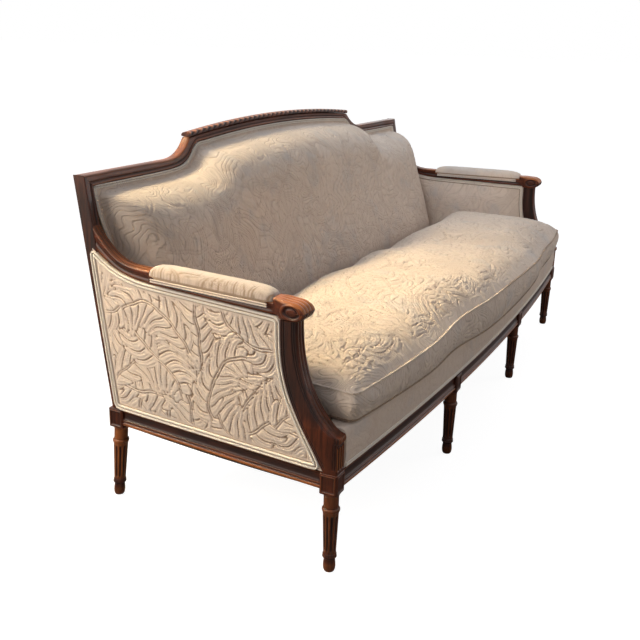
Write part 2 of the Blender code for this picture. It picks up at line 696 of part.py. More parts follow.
for word, sign in SIDES:
    rings = []
    for share in (-0.955, -0.82, -0.6, -0.3, 0.0):
        rise = SCROLL_HEIGHT_RADIUS * math.sqrt(1 - share ** 2)
        y = SCROLL_Y + SCROLL_LENGTH_RADIUS * share
        rings.append(arm_ring(sign, y, SCROLL_Z - rise, SCROLL_Z + rise, SCROLL_HALF))
    scroll_base = SCROLL_Z - SCROLL_HEIGHT_RADIUS
    shoulder = SUPPORT_TOP_REAR
    wall = 2 * FIT
    neck = shoulder - 0.3 * SCROLL_LENGTH_RADIUS
    rings.append(arm_ring(sign, neck, scroll_base, ARM_TOP, SCROLL_HALF - ARM_GROOVE))
    rings.append(arm_ring(sign, shoulder - wall, scroll_base, ARM_TOP, mix(ARM_HALF, SCROLL_HALF, 0.4)))
    rings.append(arm_ring(sign, shoulder, arm_under(shoulder), ARM_TOP, mix(ARM_HALF, SCROLL_HALF, 0.35)))
    pad_from = ARM_PAD_FRONT - FIT
    pad_to = ARM_PAD_REAR + FIT
    rings.append(arm_ring(sign, pad_from - wall, arm_under(pad_from), ARM_TOP, ARM_HALF))
    for y in (pad_from, mix(pad_from, pad_to, 0.33), mix(pad_from, pad_to, 0.67), pad_to):
        rings.append(arm_ring(sign, y, arm_under(y), ARM_PAD_SEAT, ARM_HALF))
    rings.append(arm_ring(sign, pad_to + wall, arm_under(pad_to), ARM_TOP, ARM_HALF))
    end = back_plane(arm_under(back_plane(ARM_SWEEP_TOP)))
    for share in (0.22, 0.42, 0.6, 0.75, 0.87, 0.95):
        y = mix(pad_to, end, share)
        rings.append(arm_ring(sign, y, arm_under(y), arm_over(y), mix(ARM_HALF, POST_WIDTH / 2, share)))
    rings.append(arm_ring(sign, end, arm_under(end), ARM_SWEEP_TOP, POST_WIDTH / 2 - FIT, True))
    arm = loft(f"arm_rail_{word}", rings, "stained_wood")
    pieces[f"arm_rail_{word}"] = arm

    tenon_z = mix(arm_under(end), ARM_SWEEP_TOP, 0.4)
    post_face = back_plane(tenon_z)
    reach = TENON_LENGTH + 3 * SINK
    centre = (sign * arm_line(post_face), post_face + reach / 2 - 3 * SINK, tenon_z)
    tenon(arm, pieces[f"rear_post_{word}"], centre, (TENON_THICKNESS, reach, TENON_HEIGHT))

    support = pieces[f"arm_support_{word}"]
    reach = DOWEL_LENGTH + SINK
    dowel_y = mix(SUPPORT_TOP_FRONT, SUPPORT_TOP_REAR, 0.5)
    centre = (sign * arm_plane(dowel_y, SUPPORT_TOP), dowel_y, SUPPORT_TOP + reach / 2 - SINK)
    tenon(support, arm, centre, (DOWEL_SIDE, DOWEL_SIDE, reach))


# Crest rail with a moulded face, and its carved cap

def crest_ring(x):
    low = crest_low(x)
    high = crest_high(x)
    outline = [
        (0.5 * CREST_BEAD, low),
        (0.0, low + 0.5 * CREST_BEAD),
        (0.0, low + CREST_BEAD),
        (CREST_GROOVE, low + 1.3 * CREST_BEAD),
        (0.4 * CREST_GROOVE, low + 1.6 * CREST_BEAD),
        (0.4 * CREST_GROOVE, high - CREST_EASE),
        (CREST_EASE, high),
        (CREST_DEPTH - CREST_EASE, high),
        (CREST_DEPTH, high - CREST_EASE),
        (CREST_DEPTH, low),
    ]
    return [(x, back_plane(z) + CREST_SETBACK + depth, z) for depth, z in outline]


half_stations = [RAISED_HALF * share for share in (0.0, 0.18, 0.36, 0.54, 0.70, 0.82, 0.88, 0.92, 0.96, 1.0)]
half_stations += [RAISED_HALF + SWEEP_LENGTH * share for share in (0.06, 0.14, 0.24, 0.36, 0.52, 0.72, 1.0)]
half_stations += [mix(RAISED_HALF + SWEEP_LENGTH, CREST_HALF_WIDTH, share) for share in (0.5, 1.0)]
stations = [-x for x in reversed(half_stations[1:])] + half_stations
crest = loft("crest_rail", [crest_ring(x) for x in stations], "stained_wood")
for word, sign in SIDES:
    top = SHOULDER_TOP - SHOULDER_HEIGHT - FIT
    reach = DOWEL_LENGTH + SINK
    centre_x = sign * (post_outer(top) - POST_WIDTH / 2)
    centre = (centre_x, back_plane(top) + POST_DEPTH / 2, top + reach / 2 - SINK)
    tenon(pieces[f"rear_post_{word}"], crest, centre, (TENON_THICKNESS, TENON_THICKNESS, reach))


def cap_ring(x, lobe):
    """A slice of the cap: its rounded front carries slanted lobes."""
    base = crest_high(x) + FIT
    outline = [
        (0.0, 0.0, 0.0),
        (lobe - CAP_PROUD, 0.25 * CAP_HEIGHT, 0.0),
        (lobe - CAP_PROUD, 0.68 * CAP_HEIGHT, CAP_LOBE_SLANT),
        (0.0, 0.93 * CAP_HEIGHT, CAP_LOBE_SLANT),
        (0.4 * CREST_DEPTH, CAP_HEIGHT, 0.0),
        (0.8 * CREST_DEPTH, 0.88 * CAP_HEIGHT, 0.0),
        (CREST_DEPTH, 0.45 * CAP_HEIGHT, 0.0),
        (CREST_DEPTH, 0.0, 0.0),
    ]
    points = []
    for depth, up, slant in outline:
        points.append((x + slant, back_plane(base + up) + CREST_SETBACK + depth, base + up))
    return points


cap_half = RAISED_HALF - FIT
cap_rings = []
for step in range(2 * CAP_LOBES + 1):
    x = mix(-cap_half, cap_half, step / (2 * CAP_LOBES))
    cap_rings.append(cap_ring(x, 0.0 if step % 2 else CAP_LOBE_DEPTH))
loft("crest_cap", cap_rings, "stained_wood")


# Hidden members of the back

def back_bar(name, corners, finish):
    """A bar in the back's plane from its outline in X and Z, behind the webbing."""
    rings = []
    for depth in (INNER_FRAME_SETBACK, INNER_FRAME_SETBACK + INNER_FRAME_DEPTH):
        rings.append([(x, back_plane(z) + depth, z) for x, z in corners])
    return loft(name, rings, finish)


rail_low = LOWER_RAIL_BASE
rail_high = LOWER_RAIL_BASE + LOWER_RAIL_HEIGHT
inner_depth = INNER_FRAME_SETBACK + INNER_FRAME_DEPTH / 2
outline = [
    (-post_inner(rail_low) + FIT, rail_low),
    (post_inner(rail_low) - FIT, rail_low),
    (post_inner(rail_high) - FIT, rail_high),
    (-post_inner(rail_high) + FIT, rail_high),
]
lower_rail = back_bar("back_lower_rail", outline, "bare_wood")
for word, sign in SIDES:
    z = mix(rail_low, rail_high, 0.5)
    reach = TENON_LENGTH + SINK
    centre = (sign * (post_inner(z) - SINK + reach / 2), back_plane(z) + inner_depth, z)
    tenon(lower_rail, pieces[f"rear_post_{word}"], centre, (reach, TENON_THICKNESS, LOWER_RAIL_HEIGHT * 0.6))

for word, sign in SIDES:
    x = sign * MID_LEG_X
    edges = [x - STAY_WIDTH / 2, x + STAY_WIDTH / 2]
    outline = [(edges[0], rail_high + FIT), (edges[1], rail_high + FIT)]
    outline += [(edge, crest_low(edge) - 2 * FIT) for edge in reversed(edges)]
    stay = back_bar(f"back_stay_{word}", outline, "bare_wood")
    reach = DOWEL_LENGTH + SINK
    base = rail_high + FIT
    centre = (x, back_plane(base) + inner_depth, base - reach / 2 + SINK)
    tenon(stay, lower_rail, centre, (TENON_THICKNESS, DOWEL_SIDE, reach))
    top = crest_low(x) - 2 * FIT
    centre = (x, back_plane(top) + inner_depth, top + reach / 2 - SINK)
    tenon(stay, crest, centre, (TENON_THICKNESS, DOWEL_SIDE, reach))


# Webbing: flat bands laced into one net on the seat frame, and one on the back

def net(name, point, columns, rows, band_share, finish):
    """Fill the cells of a grid that lie on a band, in two layers that make the bands' thickness."""
    cuts = []
    for count in (columns, rows):
        edges = [0.0]
        for band in range(count):
            middle = (band + 0.5) / count
            edges += [middle - band_share / (2 * count), middle + band_share / (2 * count)]
        cuts.append(edges + [1.0])
    bm = bmesh.new()
    made = {}

    def corner(layer, i, j):
        if (layer, i, j) not in made:
            made[layer, i, j] = bm.verts.new(point(cuts[0][i], cuts[1][j], layer))
        return made[layer, i, j]

    filled = set()
    for j in range(len(cuts[1]) - 1):
        for i in range(len(cuts[0]) - 1):
            if i % 2 or j % 2:
                filled.add((i, j))
    for i, j in sorted(filled):
        for layer in (0, 1):
            around = [(i, j), (i + 1, j), (i + 1, j + 1), (i, j + 1)]
            bm.faces.new([corner(layer, *cell) for cell in around])
        walls = (((i, j), (i + 1, j), (i, j - 1)), ((i, j + 1), (i + 1, j + 1), (i, j + 1)),
                 ((i, j), (i, j + 1), (i - 1, j)), ((i + 1, j), (i + 1, j + 1), (i + 1, j)))
        for start, finish_at, neighbour in walls:
            if neighbour not in filled:
                wall = [corner(0, *start), corner(0, *finish_at), corner(1, *finish_at), corner(1, *start)]
                bm.faces.new(wall)
    return place(name, bm, finish)


def seat_point(s, t, layer):
    front_y = RAIL_FACE - TACKING_MARGIN
    rear_y = LEG_ROW_DEPTH + RAIL_FACE - TACKING_MARGIN
    y = mix(0.0, rear_y, t)
    half = side_line(y) + RAIL_FACE - TACKING_MARGIN
    x = mix(-half, half, s)
    y = mix(bow(x) - front_y, rear_y, t)
    return (x, y, RAIL_TOP + FIT + layer * BAND_THICKNESS)


def back_point(s, t, layer):
    z = LOWER_RAIL_BASE
    for _ in range(6):
        half = post_inner(z) - 2 * FIT
        x = mix(-half, half, s)
        z = mix(LOWER_RAIL_BASE, crest_low(abs(x) + BACK_BAND_REACH) - PANEL_GAP, t)
    depth = BACK_PAD_SEAT + FIT + layer * BAND_THICKNESS
    return (x, back_plane(z) + depth, z)


net("seat_webbing", seat_point, 8, 3, 0.42, "jute")
net("back_webbing", back_point, 7, 2, 0.40, "jute")


# Arm upholstery: hessian in the frame, padded inside panel, outside panel and the pad on top

def arm_point(s, t, rear_extra):
    """Y and Z in the arm's opening, s from the support to the post and t from the seat rail to the arm."""
    y = mix(SUPPORT_TOP_REAR, LEG_ROW_DEPTH, s)
    z = STUFFING_BASE
    for _ in range(12):
        z = mix(STUFFING_BASE, arm_under(max(y, SUPPORT_TOP_REAR)) - PANEL_TOP_GAP, t)
        front = support_rear(z) + PANEL_GAP
        rear = back_plane(z) + rear_extra
        y = mix(front, rear, s)
    return y, z


def eased(share):
    """Crown across a panel: 0 at both edges and 1 over most of the width."""
    return (1 - (2 * share - 1) ** 4)


def arm_grid(sign, rear_extra, offset):
    grid = []
    for t in UP_ARM:
        row = []
        for s in ALONG_ARM:
            y, z = arm_point(s, t, rear_extra)
            row.append((sign * (arm_plane(y, z) + offset(s, t)), y, z))
        grid.append(row)
    return grid


for word, sign in SIDES:
    lining_half = LINING_THICKNESS / 2
    inner_rear = -2 * PANEL_GAP
    front = arm_grid(sign, inner_rear, lambda s, t: lining_half)
    back = arm_grid(sign, inner_rear, lambda s, t: -lining_half)
    slab(f"arm_lining_{word}", front, back, "hessian")

    back = arm_grid(sign, inner_rear, lambda s, t: -lining_half - FIT)
    front = arm_grid(sign, inner_rear,
                     lambda s, t: -INSIDE_ARM_EDGE - INSIDE_ARM_CROWN * eased(s) * eased(t))
    slab(f"inside_arm_{word}", front, back, "cream_fabric")

    back = arm_grid(sign, OUTSIDE_ARM_ON_POST, lambda s, t: OUTSIDE_ARM_FROM)
    front = arm_grid(sign, OUTSIDE_ARM_ON_POST,
                     lambda s, t: OUTSIDE_ARM_EDGE + OUTSIDE_ARM_CROWN * eased(s) * eased(t))
    slab(f"outside_arm_{word}", front, back, "cream_fabric")

    rebate = []
    panel_top = arm_point(1.0, 1.0, OUTSIDE_ARM_ON_POST)[1]
    for z in (STUFFING_BASE - 2 * FIT, panel_top + PANEL_TOP_GAP):
        y0 = back_plane(z) - CUT_CLEAR
        y1 = back_plane(z) + OUTSIDE_ARM_ON_POST + 2 * FIT
        face_x = arm_plane(y0, z) + OUTSIDE_ARM_FROM - 2 * FIT
        rear_x = arm_plane(y1, z) + OUTSIDE_ARM_FROM - 2 * FIT
        far_x = max(post_outer(z), face_x) + CUT_CLEAR
        plan = [(face_x, y0), (far_x, y0), (far_x, y1), (rear_x, y1)]
        rebate.append([(sign * x, y, z) for x, y in plan])
    combine(pieces[f"rear_post_{word}"], loft("tool", rebate, None), "DIFFERENCE")

    pad_rings = []
    pad_length = ARM_PAD_REAR - ARM_PAD_FRONT
    pad_base = ARM_PAD_SEAT + FIT
    for share in (0.0, 0.03, 0.09, 0.2, 0.4, 0.6, 0.8, 0.91, 0.97, 1.0):
        y = ARM_PAD_FRONT + FIT + (pad_length - 2 * FIT) * share
        round_off = math.sqrt(max(0.0, 1 - abs(2 * share - 1) ** 7))
        swell = mix(0.35, 1.0, round_off)
        half = ARM_PAD_HALF * mix(0.55, 1.0, round_off)
        height = ARM_PAD_HEIGHT * swell
        outline = [(0.86, 0.0), (0.97, 0.16), (1.0, 0.42), (0.92, 0.74), (0.62, 0.95), (0.25, 1.0)]
        outline += [(-x, z) for x, z in reversed(outline)]
        pad_rings.append([(sign * (arm_line(y) + half * x), y, pad_base + height * z) for x, z in outline])
    loft(f"arm_pad_{word}", pad_rings, "cream_fabric")


# Seat deck with the upholstered front band

def deck_outline(grow):
    """Plan of the deck: bowed front between the arm supports, then the padded arms, then straight across."""
    side_gap = 2 * PANEL_GAP
    front_half = FRONT_LEG_X - ARM_HALF - side_gap
    inner = INSIDE_ARM_EDGE + INSIDE_ARM_CROWN + side_gap
    step_y = SUPPORT_BASE_REAR - side_gap
    rear_y = back_plane(RAIL_TOP) - side_gap
    right = [(arm_plane(step_y, DECK_TOP) - inner, step_y), (arm_plane(rear_y, DECK_TOP) - inner, rear_y)]
    points = []
    count = 14
    for step in range(count + 1):
        x = mix(-front_half, front_half, step / count)
        points.append((x, bow(x) - RAIL_FACE + DECK_SETBACK - grow))
    points.append((front_half, step_y))
    points += right
    points += [(-x, y) for x, y in reversed(right)]
    points.append((-front_half, step_y))
    return points


deck_rings = []
for z, grow in ((STUFFING_BASE, 0.0), (mix(STUFFING_BASE, DECK_TOP, 0.4), DECK_SWELL),
                (DECK_TOP - DECK_ROUND, 0.6 * DECK_SWELL), (DECK_TOP, -DECK_ROUND)):
    deck_rings.append([(x, y, z) for x, y in deck_outline(grow)])
loft("seat_deck", deck_rings, "cream_fabric")


# Inside back: a thick crowned pad with a flat margin at the frame, and the panel that closes the rear

def pad_half(z):
    """Half width of the back pad: between the arms low down, out to the posts above them."""
    face = back_plane(z)
    low = arm_plane(face, z) - INSIDE_ARM_EDGE - INSIDE_ARM_CROWN - 4 * PANEL_GAP
    high = post_inner(z) - PANEL_GAP
    return mix(min(low, high), high, smooth(z, ARM_TOP, ARM_SWEEP_TOP + 0.03))


def pad_point(s, t):
    base = DECK_TOP + PANEL_GAP
    z = base
    for _ in range(10):
        half = pad_half(z)
        x = mix(-half, half, s)
        z = mix(base, crest_low(x) - PANEL_GAP, t)
    return x, z


def pad_thickness(x, z):
    """Depth of stuffing: thin at the margin, then a round roll up to full depth, deepest low down."""
    side = pad_half(z) - abs(x)
    top = crest_low(x) - PANEL_GAP - z
    full = mix(BACK_PAD_LOW, BACK_PAD_HIGH, smooth(z, DECK_TOP, SHOULDER_TOP))

    def roll(distance):
        share = min(max((distance - BACK_PAD_MARGIN) / BACK_PAD_ROLL, 0.0), 1.0)
        return math.sqrt(1 - (1 - share) ** 2)

    return BACK_PAD_EDGE + (full - BACK_PAD_EDGE) * roll(side) * roll(top)


def pad_share(x):
    """Share across the pad of a point on its top edge."""
    return 0.5 + 0.5 * x / pad_half(crest_low(x) - PANEL_GAP)


edge_steps = [0.0] + [BACK_PAD_MARGIN + BACK_PAD_ROLL * share for share in (0.0, 0.15, 0.45, 1.0)]
pad_rise = SHOULDER_TOP - SHOULDER_HEIGHT - DECK_TOP
pad_side = pad_half(SHOULDER_TOP - SHOULDER_HEIGHT)
roll_inside = pad_side - BACK_PAD_MARGIN - 1.1 * BACK_PAD_ROLL
across = [pad_share(x) for x in half_stations if x < roll_inside]
across += [pad_share(pad_side - step) for step in reversed(edge_steps[1:])] + [1.0]
across = [1 - share for share in reversed(across[1:])] + across
upward = [0.0, 0.3, 0.55] + [1 - step / pad_rise for step in reversed(edge_steps)]
front = []
back = []
for t in upward:
    row = [pad_point(s, t) for s in across]
    front.append([(x, back_plane(z) + BACK_PAD_SEAT - pad_thickness(x, z), z) for x, z in row])
    back.append([(x, back_plane(z) + BACK_PAD_SEAT, z) for x, z in row])
slab("back_pad", front, back, "cream_fabric")

rear_outline = []
for z in (STUFFING_BASE, mix(STUFFING_BASE, SHOULDER_TOP, 0.5)):
    rear_outline.append((post_inner(z) - PANEL_GAP, z))
for x in reversed(half_stations[:-1]):
    rear_outline.append((x, crest_low(x) - PANEL_GAP))
corner_x = post_inner(SHOULDER_TOP - SHOULDER_HEIGHT) - PANEL_GAP
rear_outline = rear_outline[:2] + [(corner_x, crest_low(corner_x) - PANEL_GAP)] + rear_outline[2:]
rear_outline += [(-x, z) for x, z in reversed(rear_outline[:-1])]
rings = []
for depth in (POST_DEPTH - OUTSIDE_BACK_THICKNESS, POST_DEPTH):
    rings.append([(x, back_plane(z) + depth, z) for x, z in rear_outline])
loft("outside_back", rings, "cream_fabric")


# Loose seat cushion: boxed sides, a bowed front and a high crown

def cushion_outline():
    """Plan of the cushion's edge with rounded corners, fitted between the arms and the back."""
    front_half = arm_plane(0.0, DECK_TOP) - ARM_HALF - CUSHION_FRONT_GAP
    arm_padding = INSIDE_ARM_EDGE + INSIDE_ARM_CROWN
    rear_half = arm_plane(cushion_rear, DECK_TOP) - arm_padding - CUSHION_SIDE_GAP

    def front_y(x):
        return CUSHION_CORNER_Y - CUSHION_BOW * (1 - (x / front_half) ** 2)

    right = []
    radius = CUSHION_FRONT_RADIUS
    start = front_half - radius
    for step in range(8):
        x = start * step / 7
        right.append((x, front_y(x)))
    slope = (front_y(start) - front_y(start - 0.001)) / 0.001
    turn = math.atan(slope)
    centre_y = front_y(start) + radius * math.cos(turn)
    centre_x = start - radius * math.sin(turn)
    for step in range(1, 5):
        angle = mix(-math.pi / 2 + turn, 0.0, step / 4)
        right.append((centre_x + radius * math.cos(angle), centre_y + radius * math.sin(angle)))
    radius = CUSHION_REAR_RADIUS
    centre_y = cushion_rear - radius
    centre_x = rear_half - radius
    right.append((mix(right[-1][0], centre_x + radius, 0.5), mix(right[-1][1], centre_y, 0.5)))
    for step in range(4):
        angle = math.pi / 2 * step / 3
        right.append((centre_x + radius * math.cos(angle), centre_y + radius * math.sin(angle)))
    for step in range(5, 0, -1):
        right.append((centre_x * step / 6, cushion_rear))
    left = [(-x, y) for x, y in reversed(right[1:])]
    return right + [(0.0, cushion_rear)] + left


cushion_rear = back_plane(DECK_TOP) + BACK_PAD_SEAT - BACK_PAD_LOW - CUSHION_REAR_GAP
cushion_edge = cushion_outline()
cushion_front = min(y for x, y in cushion_edge)
cushion_middle = (cushion_rear + cushion_front) / 2
cushion_reach_y = (cushion_rear - cushion_front) / 2
cushion_reach_x = max(x for x, y in cushion_edge)


def cushion_ring(inset, z):
    ring = []
    for x, y in cushion_edge:
        scaled_x = x * (1 - inset / cushion_reach_x)
        scaled_y = cushion_middle + (y - cushion_middle) * (1 - inset / cushion_reach_y)
        ring.append((scaled_x, scaled_y, z))
    return ring


cushion_base = DECK_TOP + FIT
low_welt = cushion_base + CUSHION_LOW_WELT
high_welt = low_welt + CUSHION_BOXING
deepest = 0.9 * cushion_reach_y
rings = [
    cushion_ring(CUSHION_CORE_INSET, cushion_base),
    cushion_ring(CUSHION_BASE_EASE, cushion_base),
    cushion_ring(0.3 * CUSHION_BASE_EASE, mix(cushion_base, low_welt, 0.3)),
    cushion_ring(0.0, low_welt),
    cushion_ring(CUSHION_TUCK, mix(low_welt, high_welt, 0.5)),
    cushion_ring(0.0, high_welt),
]
for share in (0.05, 0.16, 0.34, 0.6, 1.0):
    crown = CUSHION_CROWN * math.sqrt(1 - (1 - share) ** 2.4)
    rings.append(cushion_ring(deepest * share, high_welt + crown))
loft("seat_cushion", rings, "cream_fabric")


# Thin lining under the seat, cut round the legs

cover_rings = []
for z in (RAIL_BASE - FIT - DUST_THICKNESS, RAIL_BASE - FIT):
    plan = []
    edge = RAIL_FACE - TACKING_MARGIN
    rear_half = REAR_LEG_X + edge
    for step in range(13):
        x = mix(-FRONT_LEG_X - edge, FRONT_LEG_X + edge, step / 12)
        plan.append((x, bow(x) - edge, z))
    plan.append((rear_half, LEG_ROW_DEPTH + edge, z))
    plan.append((-rear_half, LEG_ROW_DEPTH + edge, z))
    cover_rings.append(plan)
dust_cover = loft("dust_cover", cover_rings, "black_lining")
for sign in (-1, 1):
    for x, y in ((FRONT_LEG_X, 0.0), (MID_LEG_X, bow(MID_LEG_X)), (REAR_LEG_X, LEG_ROW_DEPTH),
                 (MID_LEG_X, LEG_ROW_DEPTH)):
        hole = brick((sign * x, y, RAIL_BASE), (BLOCK_SIDE, BLOCK_SIDE, BLOCK_SIDE), 2 * FIT)
        combine(dust_cover, hole, "DIFFERENCE")


# Centre the whole box over the origin

front_reach = min(cushion_front, bow(0.0) - RAIL_FACE)
rear_reach = max(point[1] for point in cap_ring(0.0, 0.0))
origin.location = Vector((0.0, -(front_reach + rear_reach) / 2, 0.0))
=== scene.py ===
"""A long French sofa: dark carved frame, cream quilted upholstery and one loose bench cushion.

Shapes are worked out in the joiner's own frame, in metres: X along the sofa, Y back from the line through the
front corner legs, Z up from the floor. front_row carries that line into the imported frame.
"""

import math

import bmesh
import bpy
import numpy as np
from mathutils import Matrix, Vector


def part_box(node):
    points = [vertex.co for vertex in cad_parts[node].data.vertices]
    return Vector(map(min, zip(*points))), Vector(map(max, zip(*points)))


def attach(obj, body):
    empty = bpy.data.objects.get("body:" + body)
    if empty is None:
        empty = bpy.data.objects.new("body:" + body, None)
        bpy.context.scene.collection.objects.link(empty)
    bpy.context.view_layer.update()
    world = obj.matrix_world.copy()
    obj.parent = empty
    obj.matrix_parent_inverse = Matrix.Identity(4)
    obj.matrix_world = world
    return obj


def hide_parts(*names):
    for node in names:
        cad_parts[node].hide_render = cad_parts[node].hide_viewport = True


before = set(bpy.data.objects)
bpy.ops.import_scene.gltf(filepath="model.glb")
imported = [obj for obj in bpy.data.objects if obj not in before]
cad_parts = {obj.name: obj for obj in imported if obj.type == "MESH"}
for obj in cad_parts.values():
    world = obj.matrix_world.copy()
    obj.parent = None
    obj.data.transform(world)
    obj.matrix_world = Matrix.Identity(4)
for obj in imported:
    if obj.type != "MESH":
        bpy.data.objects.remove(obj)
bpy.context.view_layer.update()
front_row = sum(corner.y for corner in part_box("front_leg_left")) / 2


# The view. The sofa is seen from its left front, from a little above the crest, through a normal lens.
# The camera's place and turn were fitted to the feet, the arms and the crest in a square picture.

scene = bpy.context.scene
camera_data = bpy.data.cameras.new("photo_camera")
camera_data.sensor_width = 36.0
camera_data.lens = 50.15
camera = bpy.data.objects.new("photo_camera", camera_data)
camera.matrix_world = Matrix((
    (0.44300, 0.26178, -0.85745, -2.7206),
    (-0.89614, 0.15723, -0.41499, -0.7512 + front_row),
    (0.02618, 0.95224, 0.30424, 1.1843),
    (0.0, 0.0, 0.0, 1.0),
))
scene.collection.objects.link(camera)
scene.camera = camera


# Turned legs. Round tapered beech legs, each in one length with its square block, fluted on the taper, with
# beads above and below the flutes. They are stained dark and polished, and the rails are tenoned into the
# blocks.

class Socket:
    """One output in a material's nodes. Arithmetic between sockets and numbers adds Math nodes."""

    def __init__(self, tree, source=None):
        self.tree = tree
        self.source = source

    def node(self, kind, inputs, out=0, **settings):
        """Add one node: its settings, then a value or a link for each input by name or number."""
        made = self.tree.nodes.new("ShaderNode" + kind)
        for key, value in settings.items():
            setattr(made, key, value)
        for key, value in inputs.items():
            if isinstance(value, Socket):
                self.tree.links.new(value.source, made.inputs[key])
            else:
                made.inputs[key].default_value = value
        return Socket(self.tree, made.outputs[out] if out is not None else None)

    def sum_of(self, operation, first, second):
        """One Math node on two values, either of which may be a number."""
        return self.node("Math", {0: first, 1: second}, operation=operation)

    def __add__(self, other):
        return self.sum_of("ADD", self, other)

    def __sub__(self, other):
        return self.sum_of("SUBTRACT", self, other)

    def __rsub__(self, other):
        return self.sum_of("SUBTRACT", other, self)

    def __mul__(self, other):
        return self.sum_of("MULTIPLY", self, other)

    __radd__ = __add__
    __rmul__ = __mul__

    def between(self, low, high):
        """0 below low, 1 above high, smooth between."""
        settings = {"interpolation_type": "SMOOTHSTEP", "clamp": True}
        return self.node("MapRange", {"Value": self, "From Min": low, "From Max": high}, **settings)

    def tint(self, dark, light):
        """Colour from dark at 0 to light at 1; either may be a socket."""
        ends = [c if isinstance(c, Socket) else (*c, 1.0) for c in (dark, light)]
        return self.node("Mix", {0: self, 6: ends[0], 7: ends[1]}, out=2, data_type="RGBA")

    def noise(self, scale, detail=3.0, roughness=0.5):
        """Noise at this place, scale features to the metre."""
        return self.node("TexNoise", {"Vector": self, "Scale": scale, "Detail": detail, "Roughness": roughness})

    def stretched(self, x, y, z):
        """This place with each axis multiplied."""
        return self.node("Mapping", {"Vector": self, "Scale": (x, y, z)})

    def held(self, name):
        """A number kept on the mesh's points."""
        return self.node("Attribute", {}, out=2, attribute_name=name)


def material(name):
    """A new material, the start of its expressions, its shader and the place on the object."""
    made = bpy.data.materials.new(name)
    made.use_nodes = True
    start = Socket(made.node_tree)
    place = start.node("TexCoord", {}, out=3)
    return made, start, made.node_tree.nodes["Principled BSDF"], place


def connect(start, shader, colour, roughness, height, depth, strength):
    """Feed the shader its colour and roughness, and its normal through one Bump node."""
    bump = start.node("Bump", {"Height": height, "Distance": depth, "Strength": strength})
    for name, value in (("Base Color", colour), ("Roughness", roughness), ("Normal", bump)):
        start.tree.links.new(value.source, shader.inputs[name])


def stained_wood(name, stretch):
    """Close grain as noise drawn out along the piece under a red-brown stain, darkened in the hollows, grooves
    and shaded sides by dark polish and painted shade, and lightened to orange brown on handled edges, bead
    crests and lit tops by wear and painted highlight."""
    made, start, shader, place = material(name)
    grain = place.stretched(*stretch)
    streak = grain.noise(16.0, 6.0, 0.62)
    pore = grain.noise(95.0, 3.0, 0.6)
    cloud = place.noise(7.0, 2.0)
    stain = streak.between(0.30, 0.72).tint((0.020, 0.0048, 0.0026), (0.145, 0.0330, 0.0110))
    stain = (cloud.between(0.35, 0.75) * 0.55).tint(stain, (0.062, 0.0140, 0.0060))
    # Orange brown where the wear layer is high: real wear on handled edges, and painted highlight on lit tops
    # and bead crests.
    rub_and_light = start.held("worn") * (0.55 + 0.65 * streak)
    stain = rub_and_light.between(0.05, 0.95).tint(stain, (0.420, 0.128, 0.030))
    stain = (pore.between(0.56, 0.70) * 0.45).tint(stain, (0.012, 0.0050, 0.0035))
    # Near black where the grime layer is high: dark polish in the hollows, and painted shade in grooves,
    # creases and shaded sides.
    stain = (start.held("grime") * 0.80).tint(stain, (0.0065, 0.0034, 0.0028))
    gloss = 0.28 + 0.16 * streak + 0.22 * start.held("grime")
    connect(start, shader, stain, gloss, streak * 0.5 + pore, 0.0004, 0.35)
    shader.inputs["Coat Weight"].default_value = 0.08
    shader.inputs["Coat Roughness"].default_value = 0.16
    shader.inputs["Specular IOR Level"].default_value = 0.26
    return made


def rise(value, start, end):
    """0 before start, 1 after end, and 3t² - 2t³ between."""
    t = np.clip((value - start) / (end - start), 0.0, 1.0)
    return t * t * (3 - 2 * t)


def blend(low, high, share):
    """From low at share 0 to high at share 1, in a straight line."""
    return low + (high - low) * share


def bell(value, middle, width):
    """A bell curve, exp(-((value - middle) / width)²)."""
    return np.exp(-((value - middle) / width) ** 2)


def half_round(value, middle, half):
    """Half a circle, sqrt(1 - ((value - middle) / half)²), and 0 further out."""
    return np.sqrt(np.clip(1 - ((value - middle) / half) ** 2, 0.0, 1.0))


def xyz(x, y, z):
    """Points from three arrays that are stretched to one shape."""
    return np.stack(np.broadcast_arrays(x, y, z), axis=-1)


def patch(points, around=False, **values):
    """A grid of points as quads. around joins the last column to the first, and values are held on the
    points."""
    rows, columns = points.shape[:2]
    index = np.arange(rows * columns).reshape(rows, columns)
    if around:
        index = np.concatenate([index, index[:, :1]], axis=1)
    corners = np.stack([index[:-1, :-1], index[:-1, 1:], index[1:, 1:], index[1:, :-1]], axis=-1)
    held = {key: np.broadcast_to(value, (rows, columns)).ravel() for key, value in values.items()}
    return points.reshape(-1, 3), corners.reshape(-1, 4), held


def lid(ring, **values):
    """A fan of triangles from a ring's middle to its points."""
    count = len(ring)
    index = np.arange(count)
    fan = np.stack([index, (index + 1) % count, np.full(count, count)], axis=-1)
    held = {key: np.full(count + 1, value) for key, value in values.items()}
    return np.concatenate([ring, ring.mean(axis=0, keepdims=True)]), fan, held


def tube(points, **values):
    """A closed tube: the grid joined round, and a lid at each end."""
    ends = {key: float(np.mean(value)) for key, value in values.items()}
    return [patch(points, True, **values), lid(points[0], **ends), lid(points[-1], **ends)]


def turn_outwards(mesh, merged):
    """Merge points that lie closer than merged, where it isn't 0, and turn the faces outwards."""
    shell = bmesh.new()
    shell.from_mesh(mesh)
    if merged:
        bmesh.ops.remove_doubles(shell, verts=shell.verts, dist=merged)
    bmesh.ops.recalc_face_normals(shell, faces=shell.faces)
    shell.to_mesh(mesh)
    shell.free()


